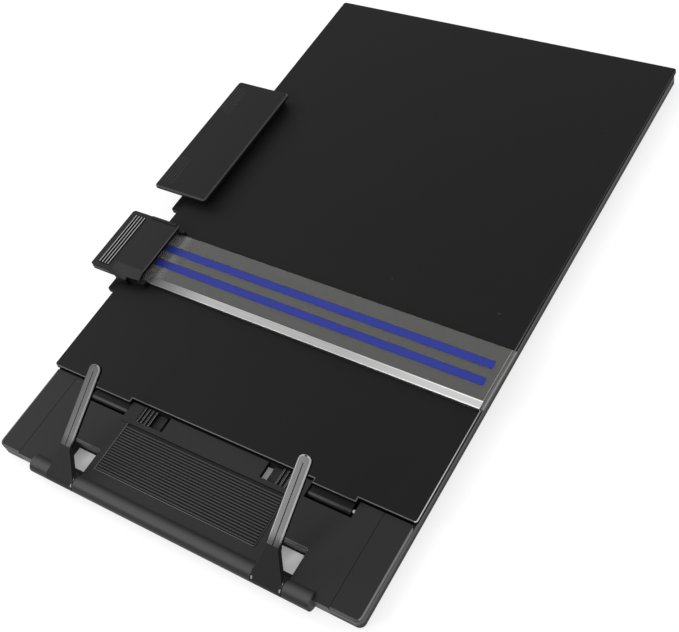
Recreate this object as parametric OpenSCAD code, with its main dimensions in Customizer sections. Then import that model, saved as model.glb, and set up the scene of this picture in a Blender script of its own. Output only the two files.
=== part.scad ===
// Folding desk copy holder: a board with a sliding line guide and a side clip,
// hinged on a low base whose front ledge carries two page holders.
// X runs across the board, Y from the ledge to the far edge, Z up from the table.

/* [Board] */
// Width of the board and of the base
board_w = 240; // [225:1:260]
// Length of the board from its front edge to its far edge
board_l = 333.5; // [330:0.5:360]
// Thickness of the board
board_t = 2.6; // [2.2:0.1:3]
// Radius of the board's corners
board_corner_r = 1.5; // [0.5:0.1:4]

/* [Base] */
// Depth of the ledge in front of the board
ledge_l = 55; // [52:0.5:60]
// Height of the tray's side band
tray_h = 7; // [6.8:0.1:8.5]
// Thickness of the tray's walls
wall_t = 2; // [1.6:0.1:2.6]
// Thickness of the tray's floor
floor_t = 1.3; // [1:0.1:1.5]
// Height of the ledge above the tray's rim
ledge_rise = 1; // [0.7:0.1:1.3]
// Thickness of the ledge cover
cover_t = 1.6; // [1.3:0.1:1.8]
// Width of each end cap of the ledge
wing_w = 17.5; // [15:0.5:20]
// Radius of the base's front corners
base_corner_r = 3.5; // [3:0.5:8]
// How far the base's left side stands in from the board's, beside the runners
base_left_set = 2.2; // [0:0.1:3.5]
// How far the base's right side stands in from the board's
base_right_set = 0.5; // [0:0.1:1.5]
// Width left free beside the tray for the two runners
runner_bay_w = 18; // [16.5:0.5:22]
// Width of the ribbed grip pad
pad_w = 106.8; // [80:0.1:110]
// Distance of the grip pad's middle from the board's middle, to the left
pad_offset = 1; // [0:0.1:1.5]
// Length of the ribbed grip pad, from front to back
pad_l = 31; // [24:1:31]
// Height of the rubber feet below the tray
foot_h = 1; // [0.8:0.1:2]
// Radius of the rubber feet
foot_r = 6; // [4:0.5:7]

/* [Hinge and prop] */
// Distance of the hinge axis in front of the board's edge
hinge_set = 5.9; // [5:0.1:6]
// Outer radius of the hinge knuckles
knuckle_r = 2.4; // [2.4:0.1:2.9]
// Radius of the steel hinge pins
hinge_pin_r = 1.1; // [0.9:0.05:1.2]
// Distance of each hinge lip from the board's side
lip_set = 33.1; // [31:0.1:34]
// Width of each hinge lip and knuckle
lip_w = 26.1; // [24:0.1:26.5]
// Distance that the hinge lips stand out of the board's front edge
lip_l = 2.6; // [2:0.1:3]
// Distance from the folded prop's foot to the board's far edge
prop_end_gap = 19; // [14:0.5:60]
// Width of the prop leg
prop_w = 88; // [70:1:100]
// Radius of the prop leg's axle
prop_axle_r = 1.3; // [1:0.1:1.6]

/* [Page holders] */
// Distance from the ledge's front face to the far side of the hole behind each hub
hole_reach = 21.4; // [15:0.1:24]
// Width of the hole behind each hub
hole_w = 18.1; // [16:0.1:20]
// Distance of the hole's middle from the hub's middle, to the right
hole_offset = 0.45; // [0:0.05:0.6]
// Distance of each page holder's middle from the board's side
prong_set = 51.8; // [50:0.1:53]
// Width of a page holder's hub
hub_w = 17.6; // [15:0.1:18.5]
// Radius of the front roll and of the hubs in it
roll_r = 5; // [4.6:0.1:5.2]
// Distance of the roll's axis in front of the ledge's front face
roll_set = -0.3; // [-0.5:0.1:2]
// Radius of the rod through the roll
rod_r = 2; // [1.5:0.1:2.5]
// Rise of the bracket above level at rest, in degrees
blade_angle = 36.8; // [34:0.1:40]
// Length of the bracket from the hub's axis to the elbow
blade_l = 18.2; // [16:0.1:22]
// Thickness of the bracket
blade_t = 3.4; // [3:0.1:3.8]
// Rise of the arm above level at rest, in degrees
arm_angle = 27.2; // [25:0.1:30]
// Length of the arm
arm_l = 45.9; // [40:0.1:50]
// Width of the arm
arm_w = 7.4; // [6.5:0.1:9]
// Distance of the arm's middle from the hub's middle, to the left
arm_offset = 2; // [0:0.1:2.2]
// Thickness of the arm
arm_t = 2.4; // [2.2:0.1:3]

/* [Side clip] */
// Distance of the clip's front end from the board's front edge
clip_y = 133.3; // [130:0.1:150]
// Length of the clip
clip_l = 99.7; // [80:0.1:110]
// Distance that the clip stands out beyond the board's side
clip_out = 22.3; // [21:0.1:26]
// Distance that the clip reaches over the board
clip_in = 17.9; // [16:0.1:24]
// Height of the clip's top above the board
clip_rise = 7.2; // [5.8:0.1:8]
// Thickness of the clip's plate
clip_t = 2.2; // [1.6:0.1:2.2]

/* [Line guide] */
// Distance of the guide's front end from the board's front edge
guide_y = 64; // [60:0.1:70]
// Length of the guide's head
guide_l = 46.5; // [44:0.1:50]
// Distance that the guide's head stands out beyond the board's side
guide_out = 21; // [18:0.1:22]
// Distance that the guide's head reaches over the board
guide_in = 15.7; // [15:0.1:24]
// Height of the guide's head above the board
guide_rise = 8.6; // [7.8:0.1:10]
// Thickness of the head's top plate
guide_t = 2.4; // [1.8:0.1:2.6]
// Width of the clear ruler
ruler_w = 38.7; // [34:0.1:41]
// Thickness of the clear ruler
ruler_t = 1.6; // [1.2:0.1:2]
// Distance that the ruler ends beyond the board's far side
ruler_over = 1.8; // [0.5:0.1:4]
// Width of the metal strip along the ruler's front edge
strip_w = 4.6; // [3:0.1:6]
// Width of each coloured line
line_w = 4.9; // [2:0.1:6]

/* [Hidden] */
$fn = 48;

// Clearances, and the overrun of a cut past the face that it opens
slide_gap = 0.3;
run_gap = 0.05;
seat_gap = 0.02;
seam = 0.25;
over = 1;
curl_steps = 8;
turn_share = 0.75;

// Heights of the stack, from the table up
floor_z = foot_h + floor_t;
rim_z = foot_h + tray_h;
ledge_z = rim_z + ledge_rise;
cover_z = ledge_z - cover_t;
board_gap = 0.4;
board_z = rim_z + board_gap;
face_z = board_z + board_t;

// Plan of the base
front_y = -ledge_l;
board_front_gap = 0.9;
ledge_back_y = -board_front_gap;
shoulder_y = 1.2;
cover_x = [wing_w + seam, board_w - wing_w - seam];
rear_corner_r = 3;
wing_bevel_h = 0.45;
base_x = [base_left_set, board_w - base_right_set];

// Hinge
hinge_y = -hinge_set;
hinge_z = board_z - knuckle_r;
knuckle_x = [lip_set, lip_set + lip_w];
barrel_set = 0.6;
barrel_x = [knuckle_x[0] + barrel_set, knuckle_x[1]];
pocket_side_gap = 1.6;
pocket_x = [knuckle_x[0] - pocket_side_gap, knuckle_x[1] + board_gap + slide_gap];
pocket_front_gap = 2.1;
pocket_y = hinge_y - knuckle_r - pocket_front_gap;
skirt_t = 1.2;
boss_l = 4;

// Roll and page holders
roll_y = front_y - roll_set;
roll_z = foot_h + roll_r;
roll_left_set = 29.6;
roll_right_set = 27.2;
roll_x = [roll_left_set, board_w - roll_right_set];
washer_t = 0.4;
hub_x = [prong_set - hub_w / 2, prong_set + hub_w / 2];
hub_side_gap = washer_t + 2 * run_gap;
hub_slot_x = [hub_x[0] - hub_side_gap, hub_x[1] + hub_side_gap];
fillet_r = 4;
taper_shares = [0.1, 0.9];
elbow_y = roll_y + blade_l * cos(blade_angle) - roll_r * sin(blade_angle);
elbow_z = roll_z + blade_l * sin(blade_angle) + roll_r * cos(blade_angle);
bend = blade_angle - arm_angle;
tongue_l = 12;
tongue_side = 1.2;
tongue_w = arm_w - 2 * tongue_side;
tongue_t = 1;
groove_w = 0.6;
groove_h = 0.3;
hole_x = [prong_set + hole_offset - hole_w / 2, prong_set + hole_offset + hole_w / 2];
hole_step = 1;
hole_lip_h = 0.8;
hole_back_y = front_y + hole_reach;
holder_gap = board_w - 2 * prong_set;
hole_r = 1.5;
bridge_t = 1.8;
tray_front_y = roll_y + roll_r + slide_gap + run_gap;
bridge_y = tray_front_y + bridge_t;

// Grip pad
pad_x = [(board_w - pad_w) / 2 - pad_offset, (board_w + pad_w) / 2 - pad_offset];
pad_front_set = 10.5;
pad_y = [front_y + pad_front_set, front_y + pad_front_set + pad_l];
pad_sink = 0.8;
pad_sheet_t = 0.6;
pad_rib_h = 0.55;
pad_rib_pitch = 1.6;
pad_rib_r = 0.4;
pad_border = 1;

// Hinge block and latches
block_x = [pocket_x[1], board_w - pocket_x[1]];
block_front_gap = 0.2;
block_tail_l = 4;
block_y = [pad_y[1] + block_front_gap, block_tail_l];
recess_set = 8.7;
recess_w = 18.6;
recess_x = [block_x[0] + recess_set, block_x[0] + recess_set + recess_w];
recess_y = [pocket_y, ledge_back_y];
latch_w = 8.8;
latch_travel = 3;
slot_w = 3.2;
under_slot_w = 3;
latch_sheet_t = 1;
latch_sheet_share = 0.46;
latch_sheet_z = floor_z + latch_sheet_share * (ledge_z - floor_z);
latch_drop = 0.2;
latch_ribs = 4;
latch_rib_w = 1;
latch_rib_h = 0.9;
trough_wall = 1.6;
trough_half_w = 1.9;
trough_y = [hinge_y - trough_half_w, hinge_y + trough_half_w];
latch_spur_t = 1.4;
latch_spur_set = 3.4;
finger_w = 1;
finger_h = 3;
finger_set = 0.2;
finger_y = hinge_y - knuckle_r + finger_set;
finger_x = [knuckle_x[1] + slide_gap, recess_x[0] + slide_gap + finger_w];
latch_coil_r = 1.05;
latch_wire_r = 0.2;
latch_turns = 7;

// Prop
prop_l = (board_l - prop_end_gap - hinge_y) / 2;
prop_y = hinge_y + prop_l;
prop_z = hinge_z;
prop_x = [(board_w - prop_w) / 2, (board_w + prop_w) / 2];
prop_t = 2.4;
prop_barrel_r = knuckle_r - slide_gap + run_gap;
prop_rail_w = 14;
prop_end_l = 20;
shoe_r = 2;
shoe_wall = 0.6;
lug_w = 5;
lug_x = [[prop_x[0] - slide_gap - lug_w, prop_x[0] - slide_gap],
    [(board_w - lug_w) / 2, (board_w + lug_w) / 2],
    [prop_x[1] + slide_gap, prop_x[1] + slide_gap + lug_w]];
prop_stops = [20, 30, 40, 50, 60];
rack_h = hinge_z - shoe_r - floor_z - slide_gap;
rack_t = 3;

// Stiffening ribs under the board and on the tray's floor
rib_t = 1.4;
board_rib_h = 2;
tray_rib_h = 2.2;
rib_end_set = 24;
rib_shares = [0.18, 0.26, 0.8, 0.9];

// Runners, ears and pins of the clip and the guide
runner_out = 7.8;
runner_in = 13.5;
runner_t = 2.6;
clip_runner_front_l = 7;
guide_runner_front_l = 5.3;
runner_z = board_z - slide_gap - runner_t;
pivot_x = -4.5;
pivot_r = 1.25;
ear_r = 2.8;
ear_t = 4;
fence_t = 2.2;
fence_top_z = board_z + board_t / 4;
coil_r = 2;
coil_leg_l = [3, 8];
coil_wire_r = 0.35;
coil_turns = 6.5;
coil_gap = 0.5;
clip_pivot_rise = 0.6;
guide_pivot_rise = 1.2;
clip_pivot_z = face_z + clip_pivot_rise;
guide_pivot_z = face_z + guide_pivot_rise;
plate_gap = 0.35;
plate_corner_r = 2;

// Clip
clip_z = face_z + clip_rise - clip_t;
clip_lip_t = 3;
clip_lip_set = 3.4;
clip_ear_share = 0.33;
clip_ear_set = clip_ear_share * clip_l;
clip_rib_l = 24;
clip_rib_pitch = 1.9;

// Guide
guide_z = face_z + guide_rise - guide_t;
guide_span = [guide_y, guide_y + guide_l];
guide_ear_share = 0.36;
guide_ear_set = guide_ear_share * guide_l;
guide_rib_pitch = 2.2;
guide_rib_set = 4.2;
guide_rib_end_set = 3;
guide_lip = 3.2;
root_x = guide_in - guide_lip;
cheek_l = 6;
cheek_h = 2;
grip_rib_w = 1.2;
grip_rib_h = 0.5;
grip_ribs = 4;
ramp_l = 8.5;
ramp_drop = 2.6;
hip_l = 10;
nose_set = 2;
rear_rim_x = -5.5;
plate_cut = [3.2, 2];
ruler_front_set = 5.4;
ruler_y = [guide_y + ruler_front_set, guide_y + ruler_front_set + ruler_w];
ruler_rise = 0.4;
ruler_z = face_z + ruler_rise;
ruler_root_l = 8;
ruler_x = [root_x - ruler_root_l, board_w + ruler_over];
ramp_x = ruler_x[0];
bevel_l = 2;
bevel_share = 0.6;
bevel_h = bevel_share * ruler_t;
strip_t = 0.5;
line_t = 0.15;
line_end_set = 7.2;
line_shares = [0.336, 0.6215];

// Screws
screw_head_r = 2.5;
screw_head_h = 1.3;
screw_shank_r = 1.2;
screw_seat_t = 1.1;
screw_boss_r = 3;
screw_top_gap = 1.2;
foot_sink = 0.6;
foot_end_set = 15;

// Origin: the middle of the part's plan, on the table
middle_x = (board_w + ruler_over - clip_out) / 2;
middle_y = (board_l + roll_y - roll_r) / 2;

screw_places = [
    [wing_w / 2, front_y + 3 * screw_boss_r],
    [wing_w / 2, ledge_back_y - 2 * screw_boss_r],
    [board_w - wing_w / 2, front_y + 3 * screw_boss_r],
    [board_w - wing_w / 2, ledge_back_y - 2 * screw_boss_r],
    [hole_x[0] - 3 * screw_boss_r, hole_back_y],
    [hole_x[1] + holder_gap + 3 * screw_boss_r, hole_back_y],
    [board_w / 2 - pad_w / 4, pad_y[0] + pad_l / 2],
    [board_w / 2 + pad_w / 4, pad_y[0] + pad_l / 2]
];
foot_places = [
    [wing_w + 2 * foot_r, hole_back_y + 2 * foot_r],
    [board_w - wing_w - 2 * foot_r, hole_back_y + 2 * foot_r],
    [runner_bay_w + 2 * foot_r, board_l - foot_end_set],
    [board_w - wing_w - 2 * foot_r, board_l - foot_end_set]
];

// Puts a piece drawn from the board's front left corner in the part's frame
module home() {
    translate([-middle_x, -middle_y, 0]) children();
}

// Mirrors a left piece to the right side
module right_side() {
    translate([board_w, 0, 0]) mirror([1, 0, 0]) children();
}

module both_sides() {
    children();
    right_side() children();
}

// Repeats what belongs to the left page holder at the right one
module right_holder() {
    translate([holder_gap, 0, 0]) children();
}

module both_holders() {
    children();
    right_holder() children();
}

// Box between two places on each axis
module slab(x, y, z) {
    translate([x[0], y[0], z[0]]) cube([x[1] - x[0], y[1] - y[0], z[1] - z[0]]);
}

module rounded_plan(x, y, r) {
    translate([x[0] + r, y[0]]) square([x[1] - x[0] - 2 * r, y[1] - y[0]]);
    translate([x[0], y[0] + r]) square([x[1] - x[0], y[1] - y[0] - 2 * r]);
    for (cx = [x[0] + r, x[1] - r], cy = [y[0] + r, y[1] - r])
        translate([cx, cy]) circle(r);
}

module rounded_slab(x, y, z, r) {
    translate([0, 0, z[0]]) linear_extrude(z[1] - z[0]) rounded_plan(x, y, r);
}

// Extrudes a profile drawn in Y and Z along X, or one drawn in X and Z along Y
module along_x(x) {
    translate([x[0], 0, 0]) rotate([90, 0, 90]) linear_extrude(x[1] - x[0]) children();
}

module along_y(y) {
    translate([0, y[1], 0]) rotate([90, 0, 0]) linear_extrude(y[1] - y[0]) children();
}

module rod_x(x, y, z, r) {
    translate([x[0], y, z]) rotate([0, 90, 0]) cylinder(h = x[1] - x[0], r = r);
}

module rod_y(x, y, z, r) {
    translate([x, y[1], z]) rotate([90, 0, 0]) cylinder(h = y[1] - y[0], r = r);
}

// Wire of round section along a path of points that turns about the axis named by up
function unit(v) = v / norm(v);
function heading(path, i) = unit(path[min(i + 1, len(path) - 1)] - path[max(i - 1, 0)]);
function ring(path, i, r, sides, up) =
    let (t = heading(path, i), n = unit(cross(t, up)), b = cross(n, t))
    [for (k = [0 : sides - 1]) path[i] + r * (cos(360 * k / sides) * n + sin(360 * k / sides) * b)];

// Least gap between the turns of a coil, from points at least most of a turn apart
function least_gap(coil, r) =
    let (last = len(coil) - 1, apart = turn_share * curl_steps)
    min([for (i = [0 : last], j = [i + apart : last]) norm(coil[i] - coil[j])]) - 2 * r;

module wire(path, r, up) {
    sides = 6;
    last = (len(path) - 1) * sides;
    points = [for (i = [0 : len(path) - 1]) each ring(path, i, r, sides, up)];
    start_cap = [for (k = [1 : sides - 2]) [0, k, k + 1]];
    end_cap = [for (k = [1 : sides - 2]) [last, last + k + 1, last + k]];
    walls = [for (i = [0 : len(path) - 2], k = [0 : sides - 1])
        let (a = i * sides + k, b = i * sides + (k + 1) % sides)
        each [[a, a + sides, b + sides], [a, b + sides, b]]];
    polyhedron(points, concat(start_cap, walls, end_cap));
}

// Tray: the lower shell of the base, open upwards, with the rack that the prop stands in
module tray_plan(inset) {
    side_y = front_y + 2 * base_corner_r;
    x = [base_x[0] + inset, base_x[1] - inset];
    rounded_plan(x, [front_y + inset, shoulder_y - inset], base_corner_r - inset);
    translate([x[0], side_y]) square([x[1] - x[0], shoulder_y - inset - side_y]);
    rounded_plan([runner_bay_w + inset, x[1]], [side_y, board_l - inset], rear_corner_r - inset / 2);
}

module rack_tooth(angle) {
    toe_y = hinge_y + 2 * prop_l * cos(angle) + shoe_r + slide_gap;
    along_x([prop_x[0], prop_x[1]])
        polygon([[toe_y, floor_z], [toe_y, floor_z + rack_h], [toe_y + rack_t, floor_z]]);
}

module tray_ribs() {
    for (share = rib_shares)
        slab([share * board_w - rib_t / 2, share * board_w + rib_t / 2],
            [shoulder_y + rib_end_set, board_l - rib_end_set], [floor_z, floor_z + tray_rib_h]);
    for (angle = prop_stops)
        rack_tooth(angle);
}

module screw_recess(place) {
    translate([place[0], place[1], foot_h - over])
        cylinder(h = screw_head_h + over, r = screw_head_r + run_gap);
    translate([place[0], place[1], foot_h])
        cylinder(h = tray_h, r = screw_shank_r + run_gap);
}

module base_tray() {
    color([0.16, 0.16, 0.17]) home() difference() {
        union() {
            difference() {
                translate([0, 0, foot_h]) linear_extrude(tray_h) tray_plan(0);
                translate([0, 0, floor_z]) linear_extrude(tray_h) tray_plan(wall_t);
            }
            tray_ribs();
            for (place = screw_places)
                translate([place[0], place[1], foot_h])
                    cylinder(h = screw_head_h + screw_seat_t, r = screw_boss_r + skirt_t);
            both_holders() slab(hole_x, [tray_front_y, bridge_y], [foot_h, roll_z - run_gap]);
        }
        slab([wing_w, board_w - wing_w], [front_y - over, front_y + wall_t + run_gap], [0, ledge_z]);
        slab([roll_x[0] - slide_gap, roll_x[1] + slide_gap], [front_y, tray_front_y], [roll_z, ledge_z]);
        rod_x([roll_x[0] - slide_gap, roll_x[1] + slide_gap], roll_y, roll_z, roll_r + slide_gap + run_gap);
        both_holders() slab(hole_x, [bridge_y, hole_back_y - hole_step - hole_step / 2], [0, ledge_z]);
        both_sides() slab([recess_x[1] - slot_w, recess_x[1] + under_slot_w], recess_y, [0, ledge_z]);
        for (place = screw_places)
            screw_recess(place);
        for (place = foot_places)
            translate([place[0], place[1], 0]) cylinder(h = foot_h + foot_sink, r = foot_r + seat_gap);
    }
}

// Ledge cover: the top of the ledge with the roll that carries the page holders
module roll_profile() {
    rise = ledge_z - roll_z;
    fillet_y = sqrt((roll_r + fillet_r) * (roll_r + fillet_r) - (rise + fillet_r) * (rise + fillet_r));
    touch = roll_r / (roll_r + fillet_r);
    translate([roll_y, roll_z]) {
        circle(roll_r);
        translate([0, rise - cover_t]) square([fillet_y, cover_t]);
        difference() {
            polygon([[0, rise - cover_t / 2], [touch * fillet_y, touch * (rise + fillet_r)],
                [fillet_y, rise + fillet_r], [fillet_y, rise - cover_t / 2]]);
            translate([fillet_y, rise + fillet_r]) circle(fillet_r);
        }
    }
}

module cover_pocket() {
    slab([pocket_x[0], pocket_x[1] + over], [pocket_y, over], [floor_z, ledge_z + over]);
}

module hole_walls() {
    difference() {
        slab([hole_x[0] - skirt_t, hole_x[1] + skirt_t], [tray_front_y, hole_back_y + skirt_t],
            [floor_z, cover_z]);
        slab([hole_x[0] - skirt_t - over, hole_x[1] + skirt_t + over],
            [tray_front_y - over, bridge_y + run_gap], [0, roll_z]);
    }
}

module cover_walls() {
    slab([pocket_x[0] - skirt_t, pocket_x[1]], [pocket_y - skirt_t, ledge_back_y], [floor_z, cover_z]);
    slab([cover_x[0], roll_x[0]], [front_y, front_y + wall_t], [foot_h, cover_z]);
    along_x([pocket_x[0] - boss_l, pocket_x[0]]) {
        translate([hinge_y, hinge_z]) circle(knuckle_r);
        translate([hinge_y - knuckle_r, hinge_z]) square([2 * knuckle_r, cover_z - hinge_z]);
    }
}

module ledge_cover() {
    color([0.2, 0.2, 0.21]) home() difference() {
        union() {
            slab(cover_x, [front_y, block_y[0] - block_front_gap], [cover_z, ledge_z]);
            both_sides()
                slab([cover_x[0], pocket_x[1]], [block_y[0] - over, ledge_back_y], [cover_z, ledge_z]);
            along_x(roll_x) roll_profile();
            both_sides() cover_walls();
            both_holders() hole_walls();
            for (place = screw_places)
                if (place[0] > wing_w && place[0] < board_w - wing_w)
                    translate([place[0], place[1], foot_h + screw_head_h + screw_seat_t])
                        cylinder(h = cover_z - foot_h - screw_head_h - screw_seat_t, r = screw_boss_r);
        }
        both_sides() {
            cover_pocket();
            rod_x([pocket_x[0] - boss_l - over, pocket_x[0] + over], hinge_y, hinge_z,
                hinge_pin_r + seat_gap);
        }
        both_holders() {
            rounded_slab(hole_x, [roll_y, hole_back_y - hole_step], [0, ledge_z + over], hole_r);
            rounded_slab(hole_x, [roll_y, hole_back_y], [ledge_z - hole_lip_h, ledge_z + over], hole_r);
            slab(hub_slot_x, [roll_y - roll_r - over, tray_front_y], [0, roll_z + roll_r + over]);
        }
        slab(pad_x, pad_y, [ledge_z - pad_sink, ledge_z + over]);
        rod_x([roll_x[0] + wall_t, roll_x[1] - wall_t], roll_y, roll_z, rod_r + run_gap);
        for (place = screw_places)
            translate([place[0], place[1], foot_h])
                cylinder(h = cover_z - foot_h - screw_top_gap, r = screw_shank_r + seat_gap);
    }
}

// End caps of the ledge, each drawn as the left one with its side set in from the board's
module wing(side_set) {
    edge = ledge_rise;
    low_z = rim_z + seam;
    mid_z = ledge_z - wing_bevel_h;
    end_x = wing_w + base_corner_r;
    difference() {
        union() {
            hull() {
                rounded_slab([side_set, end_x], [front_y, ledge_back_y], [low_z, mid_z], base_corner_r);
                rounded_slab([side_set + edge, end_x], [front_y + edge, ledge_back_y], [mid_z, ledge_z],
                    base_corner_r - edge);
            }
            rounded_slab([side_set + wall_t + run_gap, end_x], [front_y + wall_t + run_gap, ledge_back_y],
                [rim_z - ledge_rise, mid_z], base_corner_r - wall_t);
            slab([side_set + wall_t + run_gap, wing_w], [front_y + base_corner_r, ledge_back_y],
                [rim_z - ledge_rise, low_z]);
            slab([side_set, wing_w], [ledge_back_y - base_corner_r, ledge_back_y], [low_z, mid_z]);
            slab([side_set + edge, wing_w], [ledge_back_y - base_corner_r, ledge_back_y], [mid_z, ledge_z]);
            for (place = screw_places)
                if (place[0] < wing_w)
                    translate([place[0], place[1], foot_h + screw_head_h + screw_seat_t])
                        cylinder(h = rim_z - foot_h - screw_head_h - screw_seat_t, r = screw_boss_r);
        }
        slab([wing_w, wing_w + 2 * base_corner_r], [front_y - over, over], [0, ledge_z + over]);
        for (place = screw_places)
            if (place[0] < wing_w)
                translate([place[0], place[1], foot_h])
                    cylinder(h = rim_z - foot_h - screw_top_gap, r = screw_shank_r + seat_gap);
    }
}

module wing_left() {
    color([0.22, 0.22, 0.23]) home() wing(base_left_set);
}

module wing_right() {
    color([0.22, 0.22, 0.23]) home() right_side() wing(base_right_set);
}

// Ribbed grip pad let into the ledge
module grip_pad() {
    top_z = ledge_z - pad_sink + pad_sheet_t;
    inner_l = pad_l - 2 * pad_border;
    ribs = floor(inner_l / pad_rib_pitch);
    first_y = pad_y[0] + (pad_l - (ribs - 1) * pad_rib_pitch) / 2;
    inner_x = [pad_x[0] + seat_gap + pad_border, pad_x[1] - seat_gap - pad_border];
    color([0.17, 0.17, 0.18]) home() {
        slab([pad_x[0] + seat_gap, pad_x[1] - seat_gap], [pad_y[0] + seat_gap, pad_y[1] - seat_gap],
            [ledge_z - pad_sink, top_z]);
        for (x = [pad_x[0] + seat_gap, pad_x[1] - seat_gap - pad_border / 2])
            slab([x, x + pad_border / 2], [pad_y[0] + seat_gap, pad_y[1] - seat_gap],
                [top_z, top_z + pad_rib_h]);
        for (i = [0 : ribs - 1])
            translate([0, first_y + i * pad_rib_pitch, 0])
                slab(inner_x, [-pad_rib_r, pad_rib_r], [top_z, top_z + pad_rib_h]);
    }
}

// Hinge block: holds the inner ends of the hinge pins and guides the two latches
module latch_space() {
    slab(recess_x, recess_y, [latch_sheet_z - slide_gap, ledge_z + over]);
    slab([recess_x[0], recess_x[1] - slot_w - trough_wall], trough_y, [floor_z + slide_gap, ledge_z]);
    slab([recess_x[1] - slot_w, recess_x[1] + under_slot_w], recess_y,
        [0, latch_sheet_z + latch_sheet_t + slide_gap]);
    slab([block_x[0] - over, finger_x[1] + latch_travel + slide_gap],
        [finger_y - run_gap, finger_y + finger_w + run_gap],
        [hinge_z - finger_h / 2 - run_gap, hinge_z + finger_h / 2 + run_gap]);
    rod_x([block_x[0] - over, block_x[0] + boss_l], hinge_y, hinge_z, hinge_pin_r + seat_gap);
}

module hinge_block() {
    color([0.18, 0.18, 0.19]) home() difference() {
        union() {
            slab(block_x, [block_y[0], ledge_back_y], [floor_z, ledge_z]);
            slab(block_x, [ledge_back_y - over, block_y[1]], [floor_z, rim_z]);
        }
        both_sides() latch_space();
    }
}

module hinge_pin() {
    rod_x([pocket_x[0] - boss_l, block_x[0] + boss_l], hinge_y, hinge_z, hinge_pin_r);
}

module hinge_pin_left() {
    color([0.8, 0.8, 0.82]) home() hinge_pin();
}

module hinge_pin_right() {
    color([0.8, 0.8, 0.82]) home() right_side() hinge_pin();
}

// Latch: a ribbed thumb slide whose finger brakes the knuckle beside it
module latch() {
    thumb_x = recess_x[0] + slide_gap;
    pitch = (latch_w - latch_rib_w) / (latch_ribs - 1);
    pad_top_z = ledge_z - latch_drop - latch_rib_h;
    spur_x = thumb_x + latch_spur_set;
    y = [recess_y[0] + run_gap, recess_y[1] - run_gap];
    slab([thumb_x, recess_x[1] - slot_w], y, [latch_sheet_z, latch_sheet_z + latch_sheet_t]);
    slab([thumb_x, thumb_x + latch_w], y, [latch_sheet_z, pad_top_z]);
    for (i = [0 : latch_ribs - 1])
        slab([thumb_x + i * pitch, thumb_x + i * pitch + latch_rib_w], y,
            [pad_top_z, pad_top_z + latch_rib_h]);
    slab([spur_x, spur_x + latch_spur_t], [trough_y[0] + slide_gap, trough_y[1] - slide_gap],
        [floor_z + 2 * slide_gap, latch_sheet_z]);
    slab(finger_x, [finger_y, finger_y + finger_w], [hinge_z - finger_h / 2, hinge_z + finger_h / 2]);
}

module latch_left() {
    color([0.15, 0.15, 0.16]) home() latch();
}

module latch_right() {
    color([0.15, 0.15, 0.16]) home() right_side() latch();
}

// Small compression spring behind each latch's spur
module latch_spring() {
    x0 = recess_x[0] + slide_gap + latch_spur_set + latch_spur_t + run_gap + latch_wire_r;
    x1 = recess_x[1] - slot_w - trough_wall - run_gap - latch_wire_r;
    z = floor_z + slide_gap + run_gap + latch_coil_r + latch_wire_r;
    steps = curl_steps * latch_turns;
    coil = [for (i = [0 : steps]) [x0 + (x1 - x0) * i / steps,
        hinge_y + latch_coil_r * cos(360 * i / curl_steps), z + latch_coil_r * sin(360 * i / curl_steps)]];
    echo("Least gap in a latch spring, mm", least_gap(coil, latch_wire_r));
    wire(coil, latch_wire_r, [1, 0, 0]);
}

module latch_spring_left() {
    color([0.7, 0.7, 0.72]) home() latch_spring();
}

module latch_spring_right() {
    color([0.7, 0.7, 0.72]) home() right_side() latch_spring();
}

// Rod through the roll and the two hubs
module page_holder_rod() {
    color([0.6, 0.6, 0.62]) home()
        rod_x([roll_x[0] + wall_t + run_gap, roll_x[1] - wall_t - run_gap], roll_y, roll_z, rod_r);
}

module friction_washers() {
    color([0.3, 0.3, 0.3]) home() both_holders()
        for (x = [hub_slot_x[0] + run_gap, hub_x[1] + run_gap])
            difference() {
                rod_x([x, x + washer_t], roll_y, roll_z, roll_r - slide_gap);
                rod_x([x - over, x + washer_t + over], roll_y, roll_z, rod_r + run_gap);
            }
}

// Page holder: a black bracket on the rod and a grey arm pushed on its tongue
module at_elbow() {
    translate([prong_set - arm_offset, elbow_y, elbow_z]) rotate([arm_angle, 0, 0]) children();
}

module blade_plan() {
    taper = taper_shares * blade_l;
    side = [-arm_w / 2 - arm_offset, arm_w / 2 - arm_offset];
    polygon([[-hub_w / 2, 0], [hub_w / 2, 0], [hub_w / 2, taper[0]], [side[1], taper[1]],
        [side[1], blade_l], [side[0], blade_l], [side[0], taper[1]], [-hub_w / 2, taper[0]]]);
}

module prong_bracket() {
    difference() {
        union() {
            rod_x(hub_x, roll_y, roll_z, roll_r);
            translate([prong_set, roll_y, roll_z]) rotate([blade_angle, 0, 0])
                translate([0, 0, roll_r - blade_t]) linear_extrude(blade_t)
                    blade_plan();
            at_elbow() slab([-tongue_w / 2, tongue_w / 2], [-tongue_t, tongue_l],
                [-(arm_t + tongue_t) / 2, -(arm_t - tongue_t) / 2]);
        }
        rod_x([hub_x[0] - over, hub_x[1] + over], roll_y, roll_z, rod_r + run_gap);
    }
}

module prong_arm() {
    at_elbow() difference() {
        intersection() {
            translate([0, 0, -arm_t]) linear_extrude(arm_t) {
                translate([-arm_w / 2, 0]) square([arm_w, arm_l - arm_w / 2]);
                translate([0, arm_l - arm_w / 2]) circle(arm_w / 2);
            }
            along_x([-arm_w, arm_w])
                polygon([[seat_gap, 0], [arm_l + over, 0], [arm_l + over, -arm_t],
                    [seat_gap + arm_t * tan(bend), -arm_t]]);
        }
        slab([-tongue_w / 2 - seat_gap, tongue_w / 2 + seat_gap], [-over, tongue_l + seat_gap],
            [-(arm_t + tongue_t) / 2 - seat_gap, -(arm_t - tongue_t) / 2 + seat_gap]);
        slab([-groove_w / 2, groove_w / 2], [groove_w, arm_l - arm_w / 2], [-groove_h, over]);
    }
}

module prong_bracket_left() {
    color([0.17, 0.17, 0.18]) home() prong_bracket();
}

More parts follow.
